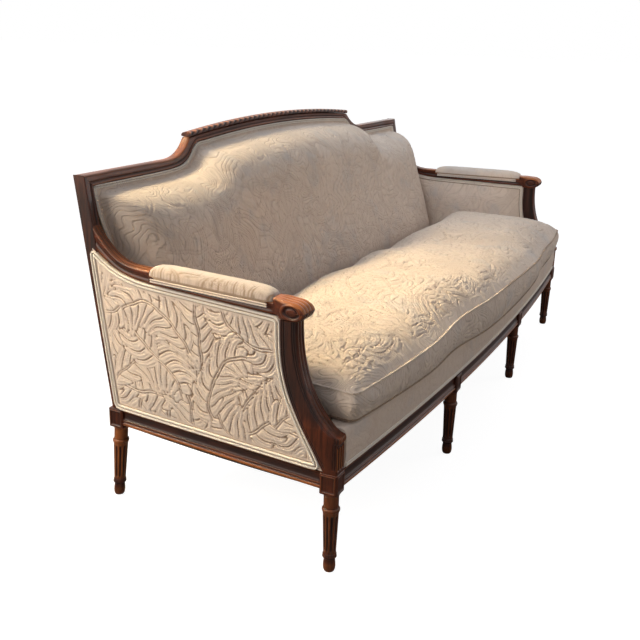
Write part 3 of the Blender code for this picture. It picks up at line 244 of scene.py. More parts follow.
def piece(name, node, parts, finish, body="frame", sharp=40):
    """One object from patches, which stands for a node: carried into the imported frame, doubles merged, faces
    turned outwards, and shaded smooth up to the sharp angle."""
    starts = np.cumsum([0] + [len(part[0]) for part in parts[:-1]])
    points = np.concatenate([part[0] for part in parts]) + np.array([0.0, front_row, 0.0])
    faces = []
    for start, part in zip(starts, parts):
        faces += (part[1] + start).tolist()
    mesh = bpy.data.meshes.new(name)
    mesh.from_pydata(points.tolist(), [], faces)
    for key in sorted({key for part in parts for key in part[2]}):
        column = [np.asarray(part[2].get(key, np.zeros(len(part[0])))) for part in parts]
        layer = mesh.attributes.new(key, "FLOAT", "POINT")
        layer.data.foreach_set("value", np.concatenate(column).astype(np.float32))
    turn_outwards(mesh, 2e-6)
    mesh.shade_smooth()
    mesh.set_sharp_from_angle(angle=math.radians(sharp))
    mesh.materials.append(finish)
    made = bpy.data.objects.new(name, mesh)
    scene.collection.objects.link(made)
    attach(made, body)
    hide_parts(node)
    return made


hands = (("left", -1), ("right", 1))
upright_wood = stained_wood("stained_wood_upright", (5.0, 5.0, 0.55))
corner_leg_x, middle_leg_x, rear_leg_x = 1.084, 0.357, 1.026
leg_row_depth, front_bow, rear_rake = 0.636, 0.047, 0.0165
leg_height, block_top, block_half, block_ease = 0.203, 0.255, 0.022, 0.0012
flute_count, flute_depth = 10, 0.0030
# How far the fillets of the front and rear legs are lightened by wear and painted highlight.
front_rub_and_light, rear_rub_and_light = 0.35, 0.65
side_normal = np.array([(0, -1, 0), (1, 0, 0), (0, 1, 0), (-1, 0, 0)], float)


def bow(x):
    """Y of the bowed line through the front legs: a parabola, forward in the middle."""
    return -front_bow * (1 - (x / corner_leg_x) ** 2)


def turned(x, y, rake, rub_and_light):
    """The radius up the leg is the largest of a tapered core over a round toe, two low beads, a high bead and
    its fillet, with a flared neck. Round the leg it dips as cos(10a), to make the stopped flutes."""
    z = np.linspace(0.0, leg_height + 0.003, 120)[:, None]
    a = np.linspace(0, 2 * np.pi, 80, endpoint=False)[None, :]
    core = np.array([
        (0.0, 0.0112), (0.003, 0.0130), (0.008, 0.0142), (0.014, 0.0147), (0.020, 0.0145), (0.027, 0.0137),
        (0.034, 0.0128), (0.0345, 0.0142), (0.050, 0.0150), (0.1527, 0.0186), (0.1655, 0.0176), (0.190, 0.0177),
        (0.206, 0.0179)])
    radius = np.interp(z, core[:, 0], core[:, 1]) + 0.0036 * rise(z, 0.190, 0.2045) ** 2
    for middle, half, reach in ((0.0392, 0.0031, 0.0171), (0.0452, 0.0029, 0.0165),
                                (0.1548, 0.0018, 0.0196), (0.1606, 0.0043, 0.0212)):
        bead = half_round(z, middle, half)
        radius = np.maximum(radius, reach - 0.0022 * (1 - bead) - 0.02 * (bead <= 0))
    hollow = np.clip((np.cos(flute_count * a) + 0.25) / 1.25, 0.0, 1.0) ** 0.75
    hollow = hollow * rise(z, 0.052, 0.060) * (1 - rise(z, 0.143, 0.151))
    radius = radius - flute_depth * hollow
    # Painted shade darkens the flutes and the joints of the turning. Wear and painted highlight lighten the
    # fillets between the flutes, and wear lightens the toe.
    joint = bell(z, 0.0345, 0.002) + bell(z, 0.1665, 0.002)
    foot = 0.36 * (1 - rise(z, 0.018, 0.032))
    points = xyz(x + radius * np.cos(a), y + rake * (1 - z / leg_height) + radius * np.sin(a), z)
    handled_and_lit = foot + rub_and_light * (1 - hollow) * rise(z, 0.04, 0.06)
    return tube(points, grime=np.clip(0.85 * hollow + 0.6 * joint, 0, 1), worn=handled_and_lit)


def square_section(per_side, power):
    """Points round a square from its front left corner, pulled on to the curve |x|^p + |y|^p = 1 to ease its
    edges: where they lie, how far along their side, and the side (0 front, 1 right, 2 back, 3 left)."""
    share = np.linspace(-1, 1, per_side, endpoint=False)
    one = np.ones(per_side)
    x = np.concatenate([share, one, -share, -one])
    y = np.concatenate([-one, share, one, -share])
    ease = (np.abs(x) ** power + np.abs(y) ** power) ** (-1 / power)
    return x * ease, y * ease, np.tile(share, 4), np.repeat(np.arange(4), per_side)


def block(x, y, shown):
    """The square block over the leg. On its shown sides a bead stands out along a line 5.5 mm inside the edges,
    and the panel within it is sunk 1.2 mm."""
    z = np.linspace(leg_height, block_top, 40)[:, None]
    sx, sy, along, side = square_section(24, 14.0)
    edge = np.minimum(z - leg_height, block_top - z)
    half = block_half - block_ease * np.clip(1 - edge / block_ease, 0, 1) ** 2
    margin = np.minimum(block_half * (1 - np.abs(along)), edge)
    on_shown = np.isin(side, shown)
    panel = (0.0010 * bell(margin, 0.0055, 0.0011) - 0.0012 * rise(margin, 0.0066, 0.0085)) * on_shown
    points = xyz(x + half * sx, y + half * sy, z) + panel[..., None] * side_normal[side]
    # Painted shade darkens the sunk line round the panel, and painted highlight with wear lightens the bead.
    line = bell(margin, 0.0075, 0.0012) * on_shown
    bright = bell(margin, 0.0052, 0.0013) * on_shown
    return tube(points, grime=0.7 * line, worn=0.45 * bright)


for word, sign in hands:
    outer = 1 if sign > 0 else 3
    for node, x, y, rake, shown in (
            (f"front_leg_{word}", corner_leg_x, 0.0, 0.0, (0, outer)),
            (f"front_mid_leg_{word}", middle_leg_x, bow(middle_leg_x), 0.0, (0,)),
            (f"rear_mid_leg_{word}", middle_leg_x, leg_row_depth, rear_rake, (2,))):
        parts = turned(sign * x, y, rake, front_rub_and_light) + block(sign * x, y, shown)
        piece(node + "_turned", node, parts, upright_wood)


# Seat rails. Straight and bowed lengths of the same stained wood, run with two beads, a hollow and a tacking
# edge on the outer face, and tenoned between the blocks of the legs.

def rounded(outline, passes):
    """Corner cutting round a closed outline: each edge keeps the points at a quarter and three quarters of it.
    The outline runs along the last axis but one."""
    for _ in range(passes):
        after = np.roll(outline, -1, axis=-2)
        cut = np.stack([0.75 * outline + 0.25 * after, 0.25 * outline + 0.75 * after], axis=-2)
        outline = cut.reshape(*outline.shape[:-2], -1, outline.shape[-1])
    return outline


rail_base, rail_height, rail_face = 0.211, 0.044, 0.019
rail_sink, rail_thickness = 0.0062, 0.036
rail_share = np.array([
    (0.65, 0.0), (0.06, 0.06), (0.0, 0.13), (0.06, 0.20), (0.60, 0.25), (0.20, 0.30), (0.12, 0.345),
    (0.20, 0.39), (0.75, 0.43), (1.0, 0.55), (1.0, 0.84), (0.48, 0.90), (0.48, 1.0)])
rail_outline = rounded(np.concatenate([
    rail_share * (-rail_sink, rail_height),
    [(-rail_thickness, rail_height), (-rail_thickness, 0.0)]]), 2)
rail_out, rail_up = rail_outline[:, 0], rail_outline[:, 1]
# Painted shade darkens the hollows of the moulding. Wear and painted highlight lighten the bead crests and the
# top edge.
rail_grime_and_shade = np.clip((-rail_out / rail_sink - 0.35) / 0.65, 0, 1) * (rail_out > -0.009)
rail_wear_and_highlight = 0.75 * bell(rail_out, 0.0, 0.0012)
rail_wear_and_highlight += 0.55 * bell(rail_up / rail_height, 0.93, 0.05) * (rail_out > -0.0045)


def rail(path, outward):
    """The rail's outline carried along a path: path + out * outward, and up from the rail's base."""
    points = np.asarray(path)[:, None, :] + rail_out[None, :, None] * np.asarray(outward, float)
    points = points + rail_up[None, :, None] * np.array([0.0, 0.0, 1.0])
    return tube(points, grime=0.85 * rail_grime_and_shade[None, :], worn=rail_wear_and_highlight[None, :])


along_wood = stained_wood("stained_wood_along", (0.55, 5.0, 5.0))
deep_wood = stained_wood("stained_wood_deep", (5.0, 0.55, 5.0))
block_end = block_half + 0.0003
for number, word in enumerate(("left", "centre", "right")):
    for row, corner_x, outward in (("front", corner_leg_x, (0, -1, 0)), ("rear", rear_leg_x, (0, 1, 0))):
        reach = corner_x - block_end
        breaks = (-reach, -middle_leg_x - block_end, block_end - middle_leg_x,
                  middle_leg_x - block_end, middle_leg_x + block_end, reach)
        x = np.linspace(breaks[2 * number], breaks[2 * number + 1], 40)
        y = bow(x) - rail_face if row == "front" else 0 * x + leg_row_depth + rail_face
        node = f"{row}_rail_{word}"
        piece(node + "_moulded", node, rail(xyz(x, y, rail_base), outward), along_wood)


def side_line(y):
    """X of the side rail's middle, straight from the front leg to the rear leg."""
    return blend(corner_leg_x, rear_leg_x, y / leg_row_depth)


for word, sign in hands:
    y = np.linspace(block_end, leg_row_depth - block_end, 24)
    path = xyz(sign * (side_line(y) + rail_face), y, rail_base)
    node = f"side_rail_{word}"
    piece(node + "_moulded", node, rail(path, (sign, 0, 0)), deep_wood)


# Rear posts. The rear corner legs run on up through their blocks as raked posts, with the crest's moulding
# turned down the front face. The crest is mitred and dowelled on top and the arms are tenoned into the front.

back_foot, back_rake = 0.615, 0.18
post_width, post_depth, post_foot_x, crest_end = 0.030, 0.036, 1.041, 1.0213
shoulder_top, shoulder_height = 0.8433, 0.030


def back_plane(z):
    """Y of the front face of the back frame, which leans 0.18 for each unit up from the rails."""
    return back_foot + back_rake * (z - block_top)


def post_outer(z):
    """X of the post's outer face, which leans in towards the crest."""
    return blend(post_foot_x, crest_end, (z - block_top) / (shoulder_top - block_top))


for word, sign in hands:
    sx, sy, along, side = square_section(30, 12.0)
    z = np.concatenate([np.linspace(block_top - 0.001, 0.312, 36), np.linspace(0.320, 0.8103, 40)])
    z = z[:, None] + 0 * sx
    from_outer = (1 - sign * sx) / 2
    mitre = shoulder_top - 0.0004 - shoulder_height * from_outer
    z = np.concatenate([z, mitre[None, :]])
    moulded = rise(z, 0.30, 0.306) * (side == 0)
    groove = np.interp(from_outer, [0.0, 0.08, 0.15, 0.56, 0.64, 0.70, 0.78, 1.0],
                       [0.0, 0.0, 0.0013, 0.0013, 0.0034, 0.0034, 0.0, 0.0])
    points = xyz(sign * (post_outer(z) - post_width / 2) + sx * post_width / 2,
                 back_plane(z) + post_depth / 2 + sy * post_depth / 2 + groove * moulded, z)
    # Painted shade darkens the side faces of the posts higher up and the sunk groove of the moulding. Wear and
    # painted highlight lighten the edges and the bead.
    edge = bell(np.abs(along), 1.0, 0.07)
    shaded = 0.62 * np.isin(side, (1, 3)) * rise(z, 0.45, 0.66)
    bead = bell(from_outer, 0.86, 0.07) * moulded
    parts = turned(sign * rear_leg_x, leg_row_depth, rear_rake, rear_rub_and_light)
    parts += block(sign * rear_leg_x, leg_row_depth, (1 if sign > 0 else 3, 2))
    sunk = 0.8 * rise(groove, 0.0016, 0.0034) * moulded
    parts += tube(points, grime=sunk + shaded, worn=0.15 * edge + 0.30 * bead)
    piece(f"rear_post_{word}_shaped", f"rear_post_{word}", parts, upright_wood)


# Arm supports. An S-shaped upright stands on each front block: a base with three flutes and a small notched
# roll, then a sweep back to the scroll with three reeds down its front and a line sunk along its sides.

arm_level, support_foot, support_sweep, support_top = 0.615, 0.2553, 0.345, 0.5912
support_half, cover_foot = 0.020, 0.2576


def arm_line(y):
    """X of the arm's middle in plan, straight from above the front leg to the middle of the post."""
    return blend(1.0852, 1.00926, y / 0.705)


def arm_plane(y, z):
    """X of the middle of the arm frame, ruled from the side rail up to the arm."""
    return blend(side_line(y), arm_line(y), (z - block_top) / (arm_level - block_top))


def support_front(z):
    """Y of the support's front: upright over the flutes, a half round roll, then a concave sweep back."""
    share = np.clip((z - support_sweep) / (support_top - support_sweep), 0.0, 1.0)
    sweep = blend(-0.0195, 0.092, (1 - (1 - share) ** 2.3) ** 0.75)
    roll = 0.0052 * half_round(z, 0.3375, 0.0085)
    return np.where(z < support_sweep, -0.0205 - roll, sweep)


def support_rear(z):
    """Y of the support's rear edge, a quarter sine from the block to the scroll, hurried in its middle."""
    share = np.clip((z - cover_foot) / (support_top - cover_foot), 0.0, 1.0)
    hurried = share * (1 + 0.7 * share * (1 - share))
    return blend(0.017, 0.134, np.sin(hurried * np.pi / 2))


for word, sign in hands:
    z = np.concatenate([np.linspace(support_foot, 0.349, 64), np.linspace(0.3505, support_top, 84)])[:, None]
    sx, sy, along, side = square_section(40, 9.0)
    on_front, on_sides = side == 0, np.isin(side, (1, 3))
    front, rear = support_front(z), support_rear(z)
    reeds = np.abs(np.cos(1.5 * np.pi * along)) ** 0.55 - 0.5
    flutes = half_round(along, np.array([[-0.56], [0.0], [0.56]]), 0.20).max(axis=0)
    in_base = rise(z, 0.262, 0.266) * (1 - rise(z, 0.318, 0.3235))
    on_roll = rise(z, 0.328, 0.332) * (1 - rise(z, 0.343, 0.346))
    on_sweep = rise(z, 0.350, 0.362)
    notches = np.abs(np.sin(3 * np.pi * along)) * on_roll
    carve = (0.0026 * reeds * on_sweep - 0.0034 * flutes * in_base - 0.0011 * notches) * on_front
    inside = np.minimum((1 + sy) / 2, (1 - sy) / 2) * (rear - front)
    line = (bell(inside, 0.0056, 0.0013) + bell(inside, 0.0110, 0.0013)) * on_sides * rise(z, 0.262, 0.27)
    x = arm_plane(np.maximum(front, 0.0), z) + sx * support_half - np.where(side == 1, 1, -1) * 0.0016 * line
    y = (front + rear) / 2 + sy * (rear - front) / 2
    # Painted shade darkens the creases between the reeds, the flutes, the sunk side lines and the sides above
    # the base. Wear and painted highlight lighten the reed crests, the roll, the fillets and the lower part.
    crease = on_front * (np.clip(0.25 - reeds - 0.5, 0, 1) * 1.6 * on_sweep + flutes * in_base)
    shaded = on_sides * rise(z, 0.345, 0.43)
    ridge = on_front * np.clip(reeds * 2 - 0.55, 0, 1) * on_sweep
    fillets = on_front * (1 - flutes) * in_base
    handled_and_lit = 0.55 * ridge + 0.4 * on_roll * on_front + 0.55 * fillets + 0.15 * (1 - rise(z, 0.26, 0.42))
    parts = tube(xyz(sign * x, y - carve, z), worn=handled_and_lit,
                 grime=np.clip(0.9 * crease + 0.9 * line + 0.80 * shaded, 0, 1))
    piece(f"arm_support_{word}_carved", f"arm_support_{word}", parts, upright_wood)


# Arms. Each arm sweeps out of the post, runs level under its pad and ends in a drum carved as a scroll: a
# raised spiral round a sunk eye on both faces, and reeds that wrap over its front.

arm_top, arm_pad_seat, pad_front, pad_rear, arm_end = 0.638, 0.627, 0.154, 0.515, 0.6886
sweep_start, sweep_top = 0.530, 0.755
scroll_y, scroll_z, scroll_reach, scroll_rise, scroll_neck = 0.103, 0.6135, 0.033, 0.0215, 0.138
scroll_half, arm_half, arm_end_half = 0.0275, 0.020, 0.0150


def arm_under(y):
    """Z of the arm's underside: nearly level, then lifting with the third power towards the post."""
    lift = np.maximum(0.0, (y - sweep_start + 0.05) / 0.18)
    return 0.596 + 0.022 * (y - scroll_y) + 0.032 * lift ** 3


def arm_over(y):
    """Z of the arm's top: level, then a concave sweep of power 3.4 up the front of the post."""
    share = np.clip((y - sweep_start) / (back_plane(sweep_top) - sweep_start), 0.0, 1.0)
    return arm_top + (sweep_top - arm_top) * share ** 3.4


# The arm's length is cut at the drum, its neck and the ends of the pad's recess. Its section lies between a
# lower and an upper edge, and leans with the post at its rear end.
turn = np.radians(np.linspace(5, 90, 34))
run = np.concatenate([
    scroll_y - scroll_reach * np.cos(turn), np.linspace(scroll_y + 0.0012, 0.1375, 28),
    np.linspace(0.1385, 0.1532, 10), np.linspace(pad_front, pad_rear + 0.0003, 50),
    np.linspace(pad_rear + 0.001, arm_end, 60)])[:, None]
sx, sz, along, side = square_section(44, 8.0)
on_sides, on_edges = np.isin(side, (1, 3)), np.isin(side, (0, 2))
drum = scroll_rise * half_round(run, scroll_y, scroll_reach)
under = np.where(run < scroll_neck, scroll_z - scroll_rise, arm_under(run))
low = np.where(run < scroll_y, scroll_z - drum, under)
nose = np.where(run < scroll_y, scroll_z + drum, scroll_z + scroll_rise + 0.003 * rise(run, scroll_y, 0.150))
in_recess = (run > pad_front - 0.0002) & (run < pad_rear + 0.0006)
high = np.where(in_recess, arm_pad_seat, np.where(run < pad_front, nose, arm_over(run)))
to_post = np.clip((run - pad_rear) / (arm_end - pad_rear), 0, 1)
half = blend(blend(scroll_half, arm_half, rise(run, 0.122, 0.153)), arm_end_half, to_post)
rise_z = (low + high) / 2 + sz * (high - low) / 2
run_y = run + rise(to_post, 0.45, 1.0) * back_rake * (rise_z - low[-1])

# The scroll's depth follows coil, the distance from the eye in shares of the drum, which grows with the angle.
eye_z, eye_y = (rise_z - scroll_z) / scroll_rise, (run_y - scroll_y) / scroll_reach
reach = np.hypot(eye_z, eye_y)
coil = reach + 0.08 * np.arctan2(eye_z, eye_y) / np.pi
on_face = on_sides * (run < scroll_neck) * (1 - rise(reach, 0.90, 1.02)) * rise(1 - np.abs(along), 0.0, 0.06)
spiral = on_face * np.interp(coil, [0.0, 0.34, 0.44, 0.54, 0.66, 0.84, 0.95, 1.0],
                             [0.0002, -0.0002, -0.0024, -0.0024, 0.0012, 0.0014, -0.0004, 0.0])
past_scroll = on_sides * rise(run, 0.150, 0.165)
side_groove = past_scroll * bell(sz, -0.15, 0.28)
side_bead = past_scroll * bell(sz, -0.72, 0.18)
top_groove = bell(np.abs(along), 0.40, 0.13) * (side == 2) * rise(run, pad_rear + 0.006, pad_rear + 0.02)
wraps = on_edges * (1 - rise(run, 0.125, 0.150))
reeds = np.abs(np.cos(2.0 * np.pi * (along + 0.25))) ** 0.6 - 0.6
lift = 0.0021 * wraps * reeds
lean = np.where(run < scroll_y, (run - scroll_y) / scroll_reach, 0.0)
arm_x = sx * half + np.where(side == 1, 1, -1) * (spiral - 0.0020 * side_groove)
arm_y = run_y + lift * lean
arm_z = rise_z + lift * np.where(side == 0, -1, 1) * half_round(lean, 0.0, 1.0) - 0.0014 * top_groove
# Wear and painted highlight lighten the arm's top (less up its sweep), the wrapped reeds, the spiral's rim and
# the side bead. Painted shade darkens the scroll's eye, the hollows between the reeds and the grooves.
arm_wear_and_highlight = rise(sz, 0.55, 0.95) * (0.95 - 0.55 * rise(run, 0.5, 0.60))
arm_wear_and_highlight = arm_wear_and_highlight + 0.2 * wraps + 0.3 * on_face * bell(coil, 0.80, 0.09) + 0.35 * side_bead
arm_grime_and_shade = 0.9 * on_face * bell(coil, 0.50, 0.09) + 1.6 * wraps * np.clip(-reeds - 0.1, 0, 1)
arm_grime_and_shade = np.clip(arm_grime_and_shade + 0.5 * side_groove + 0.9 * top_groove, 0, 1)
for word, sign in hands:
    parts = tube(xyz(sign * (arm_line(arm_y) + arm_x), arm_y, arm_z), grime=arm_grime_and_shade, worn=arm_wear_and_highlight)
    piece(f"arm_rail_{word}_carved", f"arm_rail_{word}", parts, deep_wood)


# Crest rail. One arched and stepped top rail in stained wood, moulded with a bead along its lower edge, that
# drops in concave sweeps from the raised middle to the shoulders, which are mitred over the posts.

raised_half, raised_end_top, raised_arch, raised_height = 0.542, 0.8942, 0.025, 0.0214
crest_setback, crest_depth, crest_ease, crest_bead, crest_groove = 0.006, 0.030, 0.005, 0.008, 0.0035


def crest_low(x):
    """Z of the crest's lower edge: a parabolic arch that falls in an S, 1 / (1 + d^3.6), to the shoulders."""
    shoulder = shoulder_top - shoulder_height
    turn_x = raised_half - 0.062
    middle = raised_end_top + raised_arch - raised_height
    arch = middle - raised_arch * (np.minimum(np.abs(x), turn_x) / raised_half) ** 2
    fall = np.maximum(np.abs(x) - turn_x, 0.0) / 0.074
    return shoulder + (arch - shoulder) / (1 + fall ** 3.6)


def crest_high(x):
    """Z of the crest's upper edge: level shoulders, a sweep of power 2.6, then the cap's arched seat."""
    arch = raised_end_top + raised_arch * (1 - (x / raised_half) ** 2)
    share = np.clip((np.abs(x) - raised_half) / 0.13, 0.0, 1.0)
    sweep = shoulder_top + (raised_end_top - shoulder_top) * (1 - share) ** 2.6
    return np.where(np.abs(x) <= raised_half, arch, sweep)


x = np.concatenate([
    np.linspace(0, 0.46, 60), np.linspace(0.465, 0.70, 90), np.linspace(0.706, 0.984, 36), [crest_end]])
x = np.concatenate([-x[:0:-1], x])
low, high = crest_low(x), crest_high(x)
flat = 0 * x
ends = rise(np.abs(x), 0.90, 0.984)
rear = crest_depth + crest_setback * ends
outline = rounded(np.stack([np.stack(pair, axis=-1) for pair in (
    (flat + 0.5 * crest_bead, low), (flat, low + 0.35 * crest_bead), (flat, low + 0.85 * crest_bead),
    (flat + crest_groove, low + 1.15 * crest_bead), (flat + crest_groove, low + 1.35 * crest_bead),
    (flat + 0.4 * crest_groove, low + 1.6 * crest_bead), (flat + 0.4 * crest_groove, high - crest_ease),
    (flat + 0.1 * crest_ease, high - 0.6 * crest_ease), (flat + crest_ease, high),
    (rear - crest_ease, high), (rear, high - crest_ease), (rear, low))], axis=1), 2)
depth, z = outline[..., 0], outline[..., 1]
mitred = np.broadcast_to(x[:, None], z.shape).copy()
mitred[[0, -1]] -= np.sign(x[[0, -1], None]) * (shoulder_top - z[[0, -1]])
setback = crest_setback * (1 - ends)[:, None]
over_low, on_front = z - low[:, None], depth < 0.012
# Painted shade darkens the groove above the bead. Wear and painted highlight lighten the whole crest a little,
# and more on the bead and on the tops of the sweeps.
groove_line = bell(over_low, 1.25 * crest_bead, 0.0022) * on_front
bead_line = bell(over_low, 0.6 * crest_bead, 0.0030) * on_front
on_top = rise(z - high[:, None], -0.007, -0.001)
sweeps = rise(np.abs(x), 0.53, 0.56) * (1 - 0.6 * rise(np.abs(x), 0.66, 0.75))
parts = tube(xyz(mitred, back_plane(z) + setback + depth, z), grime=0.85 * groove_line,
             worn=0.24 + 0.20 * bead_line + on_top * (0.05 + 0.22 * sweeps)[:, None])
piece("crest_rail_moulded", "crest_rail", parts, along_wood)


# Crest cap. A narrow moulding glued along the raised middle of the crest, its rounded front carved with slanted
# ribs like a twisted ribbon, three to every ninety millimetres.

cap_half, cap_height, cap_proud, cap_ribs = 0.5417, 0.0135, 0.003, 36
x = np.linspace(-cap_half, cap_half, cap_ribs * 16 + 1)
outline = rounded(np.array([
    (0.0, 0.0, 0.0), (-cap_proud, 0.2 * cap_height, 1.0), (-cap_proud, 0.7 * cap_height, 1.0),
    (0.0, 0.95 * cap_height, 0.9), (0.4 * crest_depth, cap_height, 0.15),
    (0.8 * crest_depth, 0.88 * cap_height, 0.0), (crest_depth, 0.45 * cap_height, 0.0),
    (crest_depth, 0.0, 0.0)]), 2)
depth, up, front = outline.T
rib = np.abs(np.sin(np.pi * cap_ribs * (x[:, None] + cap_half - 1.3 * up) / (2 * cap_half)))
carve = front * (rib ** 0.55 - 0.55)
z = crest_high(x)[:, None] + 0.0003 + up + 0.0010 * carve * up / cap_height
y = back_plane(z) + crest_setback + depth - 0.0044 * carve
# Painted shade darkens the gaps between the ribs. Wear and painted highlight lighten the rib crests and the top
# edge.
ribs_worn_and_lit = front * rise(rib, 0.6, 1.0) * rise(up, 0.004, 0.011)
parts = tube(xyz(x[:, None], y, z), grime=np.clip(front * (1.15 - 1.6 * rib), 0, 1),
             worn=0.85 * ribs_worn_and_lit + 0.45 * rise(up, 0.011, 0.0132))
piece("crest_cap_carved", "crest_cap", parts, along_wood)


# Hidden members. Cross braces, glue blocks, a tacking rail and two stays in unstained beech, screwed or
# dowelled inside the frame before it is covered.

bare_wood, start, shader, place = material("bare_beech")
figure = place.stretched(3.0, 3.0, 3.0).noise(18.0, 5.0, 0.6)
fleck = place.stretched(60.0, 60.0, 9.0).noise(6.0, 2.0)
plain = figure.between(0.30, 0.70).tint((0.42, 0.27, 0.15), (0.60, 0.42, 0.25))
plain = (fleck.between(0.60, 0.72) * 0.4).tint(plain, (0.26, 0.15, 0.08))
connect(start, shader, plain, 0.55 + 0.2 * figure, figure + fleck, 0.0005, 0.4)
hidden = ["seat_brace_left", "seat_brace_right", "back_lower_rail", "back_stay_left", "back_stay_right"]
hidden += [f"corner_block_{row}_{word}" for row in ("front", "rear") for word in ("left", "right")]
for node in hidden:
    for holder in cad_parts[node].material_slots:
        holder.material = bare_wood


# Webbing. Jute bands 50 to 100 mm wide, woven over and under each other and tacked to the rails, which carry
# the stuffing of the seat and the back.

jute, start, shader, place = material("jute_webbing")
weave = place.noise(620.0, 2.0) + place.stretched(1.0, 1.0, 0.2).noise(260.0, 2.0)
tone = place.noise(9.0, 2.0).between(0.3, 0.7)
band_colour = weave.between(0.7, 1.3).tint((0.20, 0.125, 0.060), (0.46, 0.33, 0.19))
band_colour = (tone * 0.35).tint(band_colour, (0.33, 0.22, 0.12))
connect(start, shader, band_colour, 0.80 + 0.15 * tone, weave, 0.0008, 0.6)
band_thickness, tack_line, tuck, webbing_foot = 0.0011, 0.009, 0.0006, 0.365


def seat_point(s, t):
    """A point of the webbed seat, on top of the rails between the bowed front and the straight rear."""
    y = (leg_row_depth + tack_line) * t
    x = (side_line(y) + tack_line) * (2 * s - 1)
    y = blend(bow(x) - tack_line, leg_row_depth + tack_line, t)
    return xyz(x, y, block_top + 0.0013), np.array([0.0, 0.0, 1.0])


def webbed_back_point(s, t):
    """A point of the webbed back, in front of the stays, from the tacking rail to the crest. X and Z depend
    on each other and settle by repeating."""
    z = np.full(np.broadcast(s, t).shape, webbing_foot)
    for _ in range(6):
        x = (post_outer(z) - post_width - tuck) * (2 * s - 1)
        z = blend(webbing_foot, crest_low(np.abs(x) + 0.03) - tuck, t)
    return xyz(x, back_plane(z) + 0.0113, z), np.array([0.0, 1.0, -back_rake])


def bands(place_of, columns, rows, share):
    """Flat bands both ways over a surface. Each one rises and falls by a cosine between its crossings, so
    that it goes over one band and under the next."""
    parts = []
    for across, count, crossings in ((True, rows, columns), (False, columns, rows)):
        for number in range(count):
            middle = (number + 0.5) / count
            run = np.linspace(0, 1, crossings * 12 + 1)[:, None]
            width = middle + share / count * np.linspace(-0.5, 0.5, 7)[None, :]
            s, t = (run + 0 * width, width + 0 * run) if across else (width + 0 * run, run + 0 * width)
            surface, out = place_of(s, t)
            phase = 1 if (number + across) % 2 else -1
            wave = phase * 0.62 * band_thickness * np.cos(np.pi * (crossings * run - 0.5))
            upper = surface + (wave + band_thickness / 2)[..., None] * out
            under = surface + (wave - band_thickness / 2)[..., None] * out
            parts += tube(np.concatenate([upper, under[:, ::-1]], axis=1))
    return parts


piece("seat_webbing_bands", "seat_webbing", bands(seat_point, 8, 3, 0.42), jute)
piece("back_webbing_bands", "back_webbing", bands(webbed_back_point, 7, 2, 0.40), jute)


# Quilted cloth. A cream matelasse: two cloths woven together along the outlines of big scrolling acanthus
# leaves and along lines that echo them, so that leaf and ground puff up between sunk tan lines.

repeat, tile_count = 0.62, 540
line_half, echo_pitch, finger_pitch = 0.0015, 0.0105, 0.036


